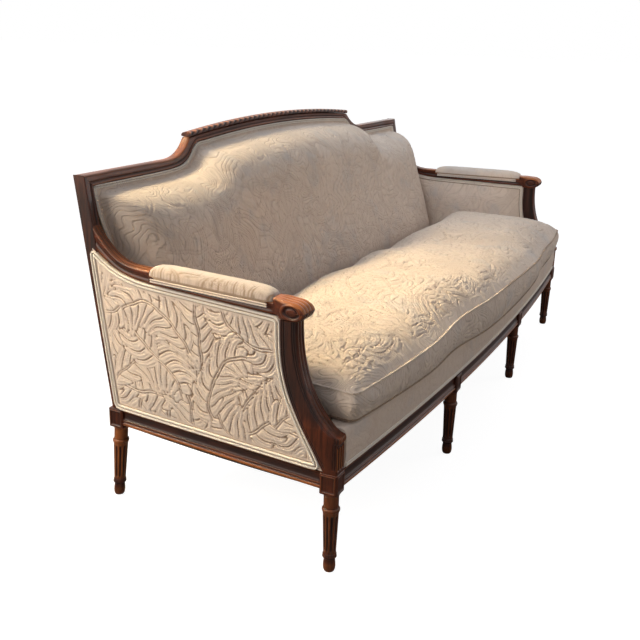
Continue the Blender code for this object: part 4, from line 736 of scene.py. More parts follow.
def quilting(leaves):
    """Each leaf covers those before it. For a point, t is the share along the leaf's curved rib and d the
    distance from it. The fingers of the leaf are the whole numbers of N (t - slant d²), so they bend towards
    the tip, each as long as a sine over the leaf allows and round at its end. Lines are sewn round and
    between the fingers, along the rib and faintly inside each finger, and echoes of the outlines follow at
    even distances over the ground. Returns the puffs less the sewn lines, and the echoes, as two layers."""
    lines, puffs = np.zeros((2, tile_count, tile_count))
    away = np.full((tile_count, tile_count), 0.03)
    spacing = repeat / tile_count
    count = 64
    for number, (root, heading, length, curl, half) in enumerate(leaves):
        angle = heading + curl * np.linspace(0, 1, count) ** 1.3
        ahead = np.stack([np.cos(angle), np.sin(angle)], axis=-1)
        rib = np.asarray(root) + np.cumsum(ahead, axis=0) * length / count
        low = np.floor((rib.min(axis=0) - half - 0.028) / spacing).astype(int)
        high = np.ceil((rib.max(axis=0) + half + 0.028) / spacing).astype(int)
        columns, rows = np.arange(low[0], high[0]), np.arange(low[1], high[1])
        at_x, at_y = np.meshgrid((columns + 0.5) * spacing, (rows + 0.5) * spacing)
        turn_x, turn_y = 2 * np.pi * at_x / repeat, 2 * np.pi * at_y / repeat
        at_x = at_x + 0.010 * np.sin(2 * turn_y + 1.0) + 0.0028 * np.sin(5 * turn_x + 6 * turn_y)
        at_y = at_y + 0.010 * np.sin(2 * turn_x + 2.0) + 0.0028 * np.sin(6 * turn_x - 5 * turn_y)
        nearest = ((at_x - rib[:, 0, None, None]) ** 2 + (at_y - rib[:, 1, None, None]) ** 2).argmin(axis=0)
        off_x, off_y = at_x - rib[nearest, 0], at_y - rib[nearest, 1]
        t = (nearest + (off_x * ahead[nearest, 0] + off_y * ahead[nearest, 1]) * count / length) / (count - 1)
        across = off_x * ahead[nearest, 1] - off_y * ahead[nearest, 0]
        d = np.abs(across)
        pitch = length / round(length / finger_pitch)
        slope = 0.15 + 1.9 * d / half
        phase = (t * length - d * (0.15 + 0.95 * d / half)) / pitch + 0.5 * (across > 0)
        finger = np.floor(phase)
        middle = np.abs(2 * (phase - finger) - 1)
        width = pitch / 2 / np.sqrt(1 + slope ** 2)
        base = np.clip((finger + 0.5) * pitch / length, 0, 1)
        reach = half * np.sin(np.pi * np.clip(0.16 + 0.80 * base, 0, 1)) ** 0.7
        reach = reach * (1 + 0.16 * np.sin(7.3 * finger + 2.1 * number + 2.0 * (across > 0)))
        rim = reach * (1 - 0.34 * middle ** 3) - d
        rim = np.where((t < 0) | (base <= 0) | (base >= 1), -0.02, rim)
        between = bell((1 - middle) * width, 0.0, line_half) * rise(d, 0.004, 0.012)
        inner = 0.60 * bell((middle - 0.40) * width, 0.0, 0.8 * line_half)
        inner = inner * rise(rim, 0.004, 0.016) * rise(d, 0.10 * half, 0.30 * half)
        sewn = np.maximum(np.maximum(between, inner), bell(d, 0.0038, line_half))
        window = np.ix_(rows % tile_count, columns % tile_count)
        lines[window] = np.maximum(np.where(rim > 0, sewn, lines[window]), bell(rim, 0.0, line_half))
        puff = half_round(middle, 0.0, 1.0) * rise(rim, 0.0, 0.008)
        puffs[window] = np.where(rim > 0, puff, puffs[window])
        away[window] = np.minimum(away[window], -rim)
    for axis in (0, 1):
        lines = (np.roll(lines, 1, axis) + 2 * lines + np.roll(lines, -1, axis)) / 4
    lines = np.minimum(1.25 * lines, 1.0)
    drift = away + 0.030 * puffs
    for _ in range(10):
        for axis in (0, 1):
            drift = (np.roll(drift, 2, axis) + drift + np.roll(drift, -2, axis)) / 3
    echo = bell(drift / echo_pitch * 2.2 % 1.0, 0.5, 0.20)
    return np.stack([0.80 + 0.20 * puffs - 0.80 * lines, echo], axis=-1)


# Each leaf of the repeat: its root, the way it heads, its length, how far it curls and half its width.
tile = quilting((
    ((0.262, 0.335), 1.65, 0.24, -0.4, 0.095), ((0.40, 0.035), 1.75, 0.20, 0.3, 0.085),
    ((0.10, 0.20), 1.9, 0.18, 0.4, 0.060), ((0.50, 0.02), 1.9, 0.32, -1.2, 0.090),
    ((0.36, 0.20), -0.3, 0.32, 1.3, 0.085), ((0.08, 0.14), 2.5, 0.32, -1.1, 0.095),
    ((0.02, 0.05), 0.3, 0.40, 2.0, 0.095), ((0.34, 0.02), 2.3, 0.36, -2.2, 0.090),
    ((0.60, 0.20), 2.2, 0.36, 2.1, 0.095), ((0.42, 0.30), 0.4, 0.34, 2.3, 0.085),
    ((0.22, 0.30), 2.9, 0.36, -2.2, 0.090), ((0.30, 0.36), 1.0, 0.38, -2.1, 0.095),
    ((0.04, 0.44), 0.2, 0.34, 2.3, 0.085), ((0.52, 0.60), 3.6, 0.34, -2.0, 0.085),
    ((0.56, 0.46), -0.6, 0.32, 2.2, 0.080), ((0.20, 0.16), 1.2, 0.30, 2.1, 0.075),
    ((0.48, 0.16), 5.2, 0.30, -2.1, 0.075), ((0.12, 0.62), 2.6, 0.28, 2.1, 0.070)))
plain_relief = 0.8


def pattern(u, v, echo):
    """Height of the quilting at (u, v), in metres on the cloth, 0 in the sewn lines and 1 on top of the puffs:
    straight lines between the repeat's samples, less a share of the echoes."""
    across, along_tile = u / repeat * tile_count - 0.5, v / repeat * tile_count - 0.5
    i, j = np.floor(across).astype(int), np.floor(along_tile).astype(int)
    fx, fy = (across - i)[..., None], (along_tile - j)[..., None]
    total = 0.0
    for di, share_x in ((0, 1 - fx), (1, fx)):
        for dj, share_y in ((0, 1 - fy), (1, fy)):
            total = total + tile[(j + dj) % tile_count, (i + di) % tile_count] * share_x * share_y
    return np.clip(total[..., 0] - echo * total[..., 1], 0.0, 1.0)


def normals(points):
    """Unit normals of a grid: the cross product of its two directions."""
    out = np.cross(np.gradient(points, axis=1), np.gradient(points, axis=0))
    return out / (np.linalg.norm(out, axis=-1, keepdims=True) + 1e-12)


def quilted_patch(points, u, v, depth, fade, out, echo, tone, seam=0.0):
    """The grid moved along its normals, towards the side that out points to, by the quilting's height times
    depth and fade. The height is kept on the points as relief, 0.8 where the cloth is plain, drawn in by tone
    and sunk by seam."""
    height = pattern(u, v, echo)
    way = normals(points)
    way = way * np.sign(np.sum(way * np.asarray(out, float), axis=-1, keepdims=True))
    moved = points + (depth * fade * (height - 0.5))[..., None] * way
    return patch(moved, relief=plain_relief + (height - plain_relief) * fade * tone - seam)


def quilted_cloth(name, swirl, greyed):
    """Cream cloth, tan in the sewn lines and palest on top of the puffs and on the cords, with faint cool
    patches, a crepe weave and small puckers. swirl is the share of fine sewn contours, which are the even
    levels of a noise, and the patches start where another noise passes greyed."""
    made, start, shader, place = material(name)
    # The relief layer also carries painted shade where some pieces set it low: the arm pads' outer side and
    # skirt, the deck band under the cushion, and the cushion's welts.
    height = start.held("relief")
    patchy = place.noise(9.0, 4.0, 0.6)
    soiled = place.noise(23.0, 3.0, 0.6)
    pucker = place.noise(150.0, 3.0, 0.6)
    crepe = place.noise(900.0, 2.0, 0.5)
    level = start.node("TexNoise", {"Vector": place, "Scale": 4.6, "Detail": 1.2, "Distortion": 1.2})
    contour = start.node("Math", {0: level * 190.0}, operation="SINE").between(0.30, 0.95) * swirl
    body = height.between(0.25, 0.95).tint((0.700, 0.540, 0.430), (0.810, 0.665, 0.545))
    body = (patchy.between(greyed, greyed + 0.22) * 0.42).tint(body, (0.585, 0.540, 0.515))
    body = (soiled.between(0.50, 0.75) * 0.30).tint(body, (0.660, 0.480, 0.360))
    body = (contour * 0.22).tint(body, (0.400, 0.285, 0.190))
    sewn = (1 - height.between(0.05, 0.55)) * (0.55 + 0.5 * patchy)
    body = sewn.tint(body, (0.280, 0.175, 0.100))
    body = height.between(1.02, 1.12).tint(body, (0.880, 0.790, 0.680))
    bumps = pucker * 0.38 + crepe * 0.32 - contour * 1.0
    connect(start, shader, body, 0.80 + 0.15 * soiled, bumps, 0.0030, 0.8)
    shader.inputs["Sheen Weight"].default_value = 0.12
    shader.inputs["Sheen Roughness"].default_value = 0.6
    shader.inputs["Specular IOR Level"].default_value = 0.25
    return made


seat_cloth = quilted_cloth("cream_matelasse_seat", 0.70, 0.50)
panel_cloth = quilted_cloth("cream_matelasse_panels", 0.10, 0.50)


# Outside arms. A quilted panel over thin wadding closes the outside of each arm, tacked into the frame and
# finished with a double cord all round.

def arm_frame(s, t, rear_extra):
    """Y and Z of the arm's opening: t from the side rail to the arm, s from the support to the post. They
    depend on each other and settle by repeating."""
    z = cover_foot + 0 * (s + t)
    for _ in range(12):
        y = blend(support_rear(z) + tuck, back_plane(z) + rear_extra, s)
        z = blend(cover_foot, arm_under(np.maximum(y, scroll_neck)) - 0.0012, t)
    return y, z


def swell(s, t):
    """1 over the middle and 0 at the edges: the product of 1 - (2s - 1)^4 both ways."""
    return (1 - (2 * s - 1) ** 4) * (1 - (2 * t - 1) ** 4)


def shares(columns, rows):
    """The shares s and t over a panel, from 0 to 1 along its columns and its rows."""
    return np.meshgrid(np.linspace(0, 1, columns), np.linspace(0, 1, rows))


def within(s, t, width, height):
    """Distance from points of a panel to its nearest edge, near enough for its seams."""
    return np.minimum(np.minimum(s, 1 - s) * width, np.minimum(t, 1 - t) * height)


def rim_of(face):
    """The points round the edge of a grid, in order."""
    return np.concatenate([face[0], face[1:, -1], face[-1, -2::-1], face[-2:0:-1, 0]])


def turned_under(edge, back_edge, close):
    """The cloth turned back from a panel's edge, and what closes it behind."""
    return [patch(np.stack([edge, back_edge]), True, relief=plain_relief), close(back_edge)]


def plain_fan(ring):
    """Plain cloth across a ring, as a fan from its middle."""
    return lid(ring, relief=plain_relief)


def plain_face(ring):
    """Plain cloth across a ring, as one flat face."""
    return ring, np.arange(len(ring))[None, :], {"relief": np.full(len(ring), plain_relief)}


def welt(path, normal, radius, aside=0.0, lift=0.0, closed=False, pale=1.15):
    """A covered cord: circles of the radius round a path that is moved aside along normal × direction and
    lifted along the normal, with small lumps where the cover is drawn in."""
    ahead = np.roll(path, -1, axis=0) - np.roll(path, 1, axis=0) if closed else np.gradient(path, axis=0)
    ahead = ahead / np.linalg.norm(ahead, axis=-1, keepdims=True)
    side_way = np.cross(np.broadcast_to(normal, path.shape), ahead)
    side_way = side_way / np.linalg.norm(side_way, axis=-1, keepdims=True)
    up_way = np.cross(ahead, side_way)
    middle = path + aside * side_way + lift * up_way
    a = np.linspace(0, 2 * np.pi, 10, endpoint=False)[None, :, None]
    number = np.arange(len(path))[:, None, None]
    around = radius * (1 + 0.05 * np.sin(1.7 * number) * np.cos(0.31 * number))
    ring = middle[:, None] + around * (np.cos(a) * side_way[:, None] + np.sin(a) * up_way[:, None])
    pale = np.broadcast_to(pale, len(path))[:, None]
    if closed:
        return [patch(np.concatenate([ring, ring[:1]]), True, relief=np.concatenate([pale, pale[:1]]))]
    return tube(ring, relief=pale)


def double_cord(place_at, inset_s, inset_t, count, normal, radius, gap, lift):
    """Two welts beside each other near the edge of a panel. place_at(s, t) is asked at points of the curve
    |s|^46 + |t|^46 = 1, a square with its corners turned."""
    a = np.linspace(0, 2 * np.pi, count, endpoint=False)
    power = 46.0
    ease = (np.abs(np.cos(a)) ** power + np.abs(np.sin(a)) ** power) ** (-1 / power)
    line = place_at(0.5 + (0.5 - inset_s) * np.cos(a) * ease, 0.5 + (0.5 - inset_t) * np.sin(a) * ease)
    return [part for aside in (-gap, gap) for part in welt(line, normal, radius, aside, lift, True)]


cord_radius, cord_gap = 0.0028, 0.0041
for word, sign in hands:
    s, t = shares(350, 222)

    def outer_face(s, t):
        """The panel's outer side, 19 mm out from the middle of the arm frame and slightly full."""
        y, z = arm_frame(s, t, 0.020)
        return xyz(sign * (arm_plane(y, z) + 0.0190 + 0.005 * swell(s, t)), y, z)

    face = outer_face(s, t)
    inside = within(s, t, 0.56, 0.36)
    seam = 0.9 * bell(inside, 0.0059, 0.0014) + 0.6 * bell(inside, 0.0140, 0.0022)
    parts = [quilted_patch(face, 1.25 * face[..., 1] - 0.19, 1.25 * face[..., 2] - 0.22, 0.0042,
                           rise(inside, 0.014, 0.026), (sign, 0, 0), 0.25, 1.2, seam)]
    edge = rim_of(face)
    parts += turned_under(edge, edge - np.array([sign * 0.009, 0, 0]), plain_fan)
    parts += double_cord(outer_face, 0.0105, 0.0165, 460, (sign, 0, 0), cord_radius, cord_gap, 0.0020)
    node = f"outside_arm_{word}"
    made = piece(node + "_quilted", node, parts, panel_cloth, sharp=60)


# Inside arms. A hessian lining is stretched over each arm's frame and carries hair and wadding under the same
# cloth, which is tacked round the frame, full in the middle and edged with a double cord.

hessian, start, shader, place = material("hessian_lining")
threads = place.stretched(1.0, 1.0, 0.15).noise(500.0, 1.0) + place.stretched(1.0, 0.15, 1.0).noise(500.0, 1.0)
sacking = threads.between(0.8, 1.2).tint((0.17, 0.105, 0.05), (0.42, 0.30, 0.17))
connect(start, shader, sacking, 0.85 + 0.1 * threads, threads, 0.0008, 0.6)


def thicken(made, thickness):
    """Give a sheet of cloth its thickness, half to each side."""
    wall = made.modifiers.new("thickness", "SOLIDIFY")
    wall.thickness = thickness
    wall.offset = 0.0


for word, sign in hands:
    s, t = shares(60, 40)
    y, z = arm_frame(s, t, -0.0012)
    slack = 0.0006 * np.sin(9 * s) * np.sin(7 * t) * swell(s, t)
    lining = patch(xyz(sign * (arm_plane(y, z) + slack), y, z))
    made = piece(f"arm_lining_{word}_hessian", f"arm_lining_{word}", [lining], hessian)
    thicken(made, 0.0012)

    def inner_face(s, t):
        """The padding's face, 16 mm in from the middle of the arm frame and 22 mm fuller in its own middle."""
        y, z = arm_frame(s, t, -0.0012)
        return xyz(sign * (arm_plane(y, z) - 0.016 - 0.022 * swell(s, t)), y, z)

    s, t = shares(170, 110)
    face = inner_face(s, t)
    seam = 0.8 * bell(within(s, t, 0.56, 0.35), 0.0125, 0.0028)
    parts = [quilted_patch(face, face[..., 1] + 0.31, face[..., 2] + 0.11, 0.0024, swell(s, t),
                           (-sign, 0, 0), 0.4, 0.5, seam)]
    parts += double_cord(inner_face, 0.0105, 0.0165, 400, (-sign, 0, 0), 0.0024, 0.0030, 0.0020)
    edge = rim_of(face)
    parts += turned_under(edge, edge + np.array([sign * 0.0142, 0, 0]), plain_fan)
    made = piece(f"inside_arm_{word}_padded", f"inside_arm_{word}", parts, seat_cloth, sharp=60)


# Arm pads. A roll of hair under cloth, nailed into a recess along the arm. Its cover laps the sides of the
# wood and ends in a double cord.

pad_cloth = quilted_cloth("cream_matelasse_pads", 0.10, 0.36)
pad_half_outline = [
    (0.0, 0.0295), (0.0150, 0.0275), (0.0255, 0.021), (0.0292, 0.010), (0.0292, -0.0050), (0.0262, -0.0115),
    (0.0208, -0.0090), (0.0208, 0.0003)]
pad_outline = rounded(np.array([(-x, z) for x, z in pad_half_outline[:0:-1]] + pad_half_outline), 2)
for word, sign in hands:
    s = (1 - np.cos(np.linspace(0, np.pi, 150)))[:, None] / 2
    full = np.sqrt(np.clip(1 - np.abs(2 * s - 1) ** 7, 0, 1))
    y = blend(0.1545, 0.5145, s)
    aside, up = pad_outline[:, 0][None, :], pad_outline[:, 1][None, :]
    skirt = np.where(up < 0.0003, rise(full, 0.55, 0.95), 1.0)
    up = np.where(up > 0, up * blend(0.35, 1, full), up * skirt)
    aside = aside * blend(0.60, 1, full)
    height = pattern(y + 0.13 + 0 * up, 0.21 + 1.4 * aside, 0.3)
    puff = 1 + 0.036 * (height - 0.6) * (up > 0.004) * full
    # Painted shade: the pad's outer side is set darker, and the skirt under the roll darkest.
    shade = 0.90 - 0.52 * rise(aside, -0.005, 0.024) + 0.40 * (height - plain_relief)
    parts = tube(xyz(sign * (arm_line(y) + aside * puff), y, arm_pad_seat + 0.0002 + up * puff),
                 relief=np.where(up > 0.002, shade, 0.10))
    path_y = np.linspace(0.166, 0.503, 120)
    for way in (-1, 1):
        path = xyz(sign * (arm_line(path_y) + way * 0.0275), path_y, arm_pad_seat - 0.008)
        for cord_aside in (-0.0026, 0.0026):
            parts += welt(path, (sign * way, 0, 0), 0.0020, cord_aside, 0.0012, pale=0.95)
    made = piece(f"arm_pad_{word}_stuffed", f"arm_pad_{word}", parts, pad_cloth, sharp=60)


# Seat deck. A stuffed platform on the webbing, covered with the same cloth where its front band shows over the
# rail, with a double cord along its lower edge.

deck_front_x, deck_step_y, deck_top, deck_columns = 1.0628, 0.0268, 0.3526, 560


def deck_ring(grow, z):
    """The deck's outline at one height: the bowed front, a step behind the supports, the sides and the rear."""
    x = np.linspace(-deck_front_x, deck_front_x, deck_columns)
    front = xyz(x, bow(x) - 0.017 - grow, z)
    y = np.linspace(deck_step_y, 0.6138, 60)
    right = xyz(arm_plane(y, deck_top) - 0.0392, y, z)
    step_point = np.array([[deck_front_x, deck_step_y, z]])
    mirror = np.array([-1, 1, 1])
    return np.concatenate([front, step_point, right, (right * mirror)[::-1], step_point * mirror])


rows = np.linspace(0, 1, 30)
deck_levels = [0, 0.45, 0.88, 0.95, 1]
deck_z = np.interp(rows, deck_levels, [cover_foot, 0.2956, 0.3446, 0.3500, deck_top])
deck_grow = np.interp(rows, deck_levels, [0.0, 0.003, 0.0018, -0.002, -0.010])
rings = np.stack([deck_ring(grow, z) for grow, z in zip(deck_grow, deck_z)])
fade = (rise(rows, 0.02, 0.25) * (1 - rise(rows, 0.8, 0.95)))[:, None]
fade = fade * (np.arange(rings.shape[1]) < deck_columns)[None, :]
height = pattern(rings[..., 0] + 0.1, rings[..., 2], 0.3)
rings[..., 1] -= 0.0018 * fade * height
# Painted shade: the band is set a little darker over its middle rows, under the cushion's overhang.
parts = [patch(rings, True, relief=plain_relief - 0.15 * fade + 0.15 * (height - plain_relief) * fade)]

# A seam on top of the deck, where plain cloth is sewn to the band: rings shrunk towards the deck's middle.
deck_middle = np.array([0.0, 0.29, 0.0])
seams = [rings[-1]]
for share, drop in ((0.930, 0.0), (0.926, 0.0016), (0.922, 0.0)):
    shrunk = (rings[-1] - deck_middle) * (share, share, 1) + deck_middle
    seams.append(shrunk - np.array([0.0, 0.0, drop / share]))
parts.append(patch(np.stack(seams), True, relief=np.array([0.8, 0.8, 0.2, 0.8])[:, None]))
parts += [plain_face(rings[0]), plain_face(seams[-1])]
x = np.linspace(-1.058, 1.058, 520)
for z in (0.2611, 0.2659):
    parts += welt(xyz(x, bow(x) - 0.0185, z), (0, -1, 0), 0.0025)
made = piece("seat_deck_covered", "seat_deck", parts, panel_cloth, sharp=60)


# Inside back. One long panel of hair and wadding under the quilted cloth, deep and round-edged. It is held in
# the frame by a flat margin that is tacked down under a double cord.

back_pad_foot, back_margin, back_roll = 0.3532, 0.018, 0.110


def pad_half(z):
    """Half the back pad's width: between the arms low down, between the posts above them."""
    between_arms = arm_plane(back_plane(z), z) - 0.0404
    between_posts = post_outer(z) - post_width - tuck
    return blend(np.minimum(between_arms, between_posts), between_posts, rise(z, arm_top, 0.785))


def pad_place(s, t):
    """X and Z of the pad's outline shares and half its width there, settled by repeating, since each depends
    on the other."""
    z = back_pad_foot + 0 * (s + t)
    for _ in range(10):
        half = pad_half(z)
        x = half * (2 * s - 1)
        z = blend(back_pad_foot, crest_low(x) - tuck, t)
    return x, z, half


def roll_over(distance, margin, width):
    """A quarter round: 0 up to the margin, then sqrt(1 - (1 - d)²) over the width."""
    share = np.clip((distance - margin) / width, 0, 1)
    return np.sqrt(1 - (1 - share) ** 2)


def crest_gap(x, z):
    """Distance from points of the back to the crest's lower edge, the least over points along it."""
    line_x = np.linspace(-1.0, 1.0, 401)
    line_z = crest_low(line_x)
    gap = np.full(x.shape, 9.0)
    for edge_x, edge_z in zip(line_x, line_z):
        gap = np.minimum(gap, (x - edge_x) ** 2 + (z - edge_z) ** 2)
    return np.sqrt(gap)


s, t = shares(660, 180)
x, z, half = pad_place(s, t)
to_side = half - np.abs(x)
to_top = crest_gap(x, z)
full = blend(0.180, 0.142, rise(z, deck_top, shoulder_top))
nearest = (np.maximum(to_side, 0.001) ** -3.0 + np.maximum(to_top, 0.001) ** -3.0) ** (-1 / 3.0)
thickness = 0.006 + (full - 0.006) * roll_over(nearest, back_margin, back_roll)
face = xyz(x, back_plane(z) + 0.010 - thickness, z)
fade = rise(np.minimum(to_side, to_top), 0.020, 0.060) * rise(t, 0.0, 0.08)
parts = [quilted_patch(face, x + 0.06, z + 0.35 * thickness + 0.12, 0.0026, fade, (0, -1, 0.2), 0.30, 0.55)]
edge = rim_of(face)
parts += turned_under(edge, xyz(edge[:, 0], back_plane(edge[:, 2]) + 0.0099, edge[:, 2]), plain_face)
line = np.concatenate([face[26:-2, 2], face[-3, 3:-3], face[-3:25:-1, -3]])
for aside in (0.0, 2 * cord_radius):
    parts += welt(line[::2], (0, -1, 0), 0.8 * cord_radius, aside, 0.0008)
made = piece("back_pad_stuffed", "back_pad", parts, seat_cloth, sharp=60)


# Outside back. A flat panel of the quilted cloth that closes the rear. It is tacked between the posts, the
# crest and the rear rail, and a double cord hides the tacks.

def rear_face(s, t):
    """The rear of the outside back, 35 mm behind the back frame's face and slightly full."""
    z = cover_foot + 0 * (s + t)
    for _ in range(8):
        x = (post_outer(z) - post_width - tuck) * (2 * s - 1)
        z = blend(cover_foot, crest_low(x) - tuck, t)
    return xyz(x, back_plane(z) + 0.035 + 0.004 * swell(s, t), z)


s, t = shares(400, 118)
face = rear_face(s, t)
fade = rise(within(s, t, 2.0, 0.56), 0.010, 0.040)
parts = [quilted_patch(face, face[..., 0] + 0.2, face[..., 2], 0.0026, fade, (0, 1, 0), 0.3, 0.8)]
edge = rim_of(face)
parts += turned_under(edge, edge - np.array([0, 0.003, 0]), plain_face)
parts += double_cord(rear_face, 0.0035, 0.012, 720, (0, 1, 0), cord_radius, cord_gap, 0.0014)
made = piece("outside_back_quilted", "outside_back", parts, panel_cloth, sharp=60)


# Dust cover. A thin black cambric that keeps the stuffing's dust off the floor. It is tacked under the seat
# rails, cut round the blocks of the legs, and sags a little.

cambric, start, shader, place = material("black_cambric")
mesh_weave = place.noise(700.0, 2.0)
dusty = place.noise(6.0, 3.0).between(0.40, 0.75)
colour = (dusty * 0.5).tint((0.012, 0.012, 0.013), (0.045, 0.042, 0.040))
connect(start, shader, colour, 0.80 + 0.15 * dusty, mesh_weave, 0.0006, 0.5)
notch = block_half + tuck
cover_x, cover_depth = corner_leg_x + tack_line, leg_row_depth + 2 * tack_line
notch_share = (tack_line + notch) / cover_depth
stations = np.concatenate([
    np.linspace(-cover_x, -corner_leg_x + notch, 4),
    np.linspace(-corner_leg_x + notch, -middle_leg_x - notch, 26)[1:],
    np.linspace(-middle_leg_x - notch, -middle_leg_x + notch, 4)[1:],
    np.linspace(-middle_leg_x + notch, 0, 14)[1:]])
stations = np.concatenate([stations, -stations[-2::-1]])
depths = np.concatenate([np.linspace(0, notch_share, 4), np.linspace(notch_share, 1 - notch_share, 24)[1:],
                         np.linspace(1 - notch_share, 1, 4)[1:]])
u, v = np.meshgrid(stations, depths)
x = u * blend(1.0, (rear_leg_x + tack_line) / cover_x, v)
y = blend(bow(u) - tack_line, leg_row_depth + tack_line, v)
sag = 0.006 * np.clip(np.sin(np.pi * v), 0, 1) * np.abs(np.sin(np.pi * (u / cover_x) * 1.5)) ** 0.6
middle_x = (x[1:, 1:] + x[:-1, :-1]) / 2
middle_v = (v[1:, 1:] + v[:-1, :-1]) / 2
near_middle = np.abs(np.abs(middle_x) - middle_leg_x) < notch + 0.002
near_corner = np.abs(middle_x) > blend(corner_leg_x, rear_leg_x, middle_v) - notch - 0.004
near_row = (middle_v < notch_share) | (middle_v > 1 - notch_share)
points, quads, _ = patch(xyz(x, y, 0.2101 - sag))
quads = quads[~((near_middle | near_corner) & near_row).ravel()]
used, back_to = np.unique(quads, return_inverse=True)
cloth_part = (points[used], back_to.reshape(-1, 4), {})
made = piece("dust_cover_cambric", "dust_cover", [cloth_part], cambric)
thicken(made, 0.0008)


# Seat cushion. One loose bench cushion in the quilted cloth over feathers and down, boxed between two welts,
# bowed along its front and crowned. Its cover is blown up by a cloth simulation and then lies where it lies.

cushion_front_half, cushion_rear_half, cushion_rear_y, cushion_depth = 1.038, 0.998, 0.432, 0.50
high_welt, low_welt, cushion_base = 0.4300, 0.3590, 0.3531


def cushion_front(x):
    """Y of the cushion's bowed front edge, a parabola."""
    return -0.030 - 0.080 * (1 - (x / cushion_front_half) ** 2)


def cushion_plan(u, v, inset):
    """X and Y of the cushion's outline shares. The corner squares are pressed into quarter circles, x to
    x sqrt(1 - y² / 2) and the other way round."""
    half = blend(cushion_front_half, cushion_rear_half, v) - inset
    radius = blend(0.020, 0.030, v)
    p = np.clip((np.abs(u) * half - half + radius) / radius, 0, 1)
    q_front = np.clip((radius - v * cushion_depth) / radius, 0, 1)
    q_rear = np.clip((v * cushion_depth - cushion_depth + radius) / radius, 0, 1)
    q = np.maximum(q_front, q_rear)
    across = np.where(p > 0, half - radius + radius * p * np.sqrt(1 - q * q / 2), np.abs(u) * half)
    pressed = radius * (1 - q * np.sqrt(1 - p * p / 2)) / cushion_depth
    back = np.where(q_front > 0, pressed, np.where(q_rear > 0, 1 - pressed, v))
    x = np.sign(u) * across
    return x, blend(cushion_front(x) + inset, cushion_rear_y - inset, back)


def dome(distance, width):
    """From 0 at the edge to 1 a width away, sqrt(1 - (1 - d)^2.4)."""
    return np.sqrt(1 - (1 - np.clip(distance / width, 0, 1)) ** 2.4)


def welt_lift(x, v):
    """How far the high welt rises along the middle of the front, as a bell curve."""
    return 0.030 * bell(x, -0.10, 0.46) * (1 - v)


def pinch(x, v):
    """How far the front is drawn in above the middle legs, where the filling has parted: two bell curves."""
    parted = 0.020 * bell(x, -0.43, 0.15) + 0.010 * bell(x, 0.62, 0.15)
    return parted * (1 - np.clip(v / 0.35, 0, 1)) ** 2


def cushion_grids(columns, rows):
    """The top as a grid, then the boxing's four sides as grids that share the top's edges, from the high welt
    down to the edge of the flat base. Lumps in the filling follow cosines along the crown and its rear."""
    u, v = np.meshgrid(np.linspace(-1, 1, columns), np.linspace(0, 1, rows))
    x, y = cushion_plan(u, v, 0.0)
    half = blend(cushion_front_half, cushion_rear_half, v)
    crown = dome((1 - np.abs(u)) * half, 0.16)
    crown = crown * dome(v * cushion_depth, 0.20) * dome((1 - v) * cushion_depth, 0.085)
    lumps = 0.046 + 0.005 * np.cos(2 * np.pi * (x + 0.2) / 0.95)
    lumps = lumps + 0.008 * rise(v, 0.50, 0.85) * np.cos(2 * np.pi * (x + 0.08 * np.sin(5 * x)) / 0.46)
    grids = [xyz(x, y + pinch(x, v), high_welt + welt_lift(x, v) + lumps * crown)]
    down = np.linspace(0, 1, 7)
    insets = np.concatenate([0.008 * down ** 2 - 0.010 * np.sin(np.pi * down), [0.010, 0.022]])
    heights = np.concatenate([blend(1.0, 0.0, down), [-0.04, -1.0]])
    across, deep = np.linspace(-1, 1, columns), np.linspace(0, 1, rows)
    for u, v in ((across, 0 * across), (1 + 0 * deep, deep),
                 (across[::-1], 1 + 0 * across), (0 * deep - 1, deep[::-1])):
        side_rows = []
        for inset, share in zip(insets, heights):
            x, y = cushion_plan(u, v, inset)
            boxed = blend(low_welt, high_welt + welt_lift(x, v), share)
            z = np.where(share >= 0, boxed, blend(low_welt, cushion_base, -share))
            side_rows.append(xyz(x, y + pinch(x, v), z))
        grids.append(np.stack(side_rows))
    return grids


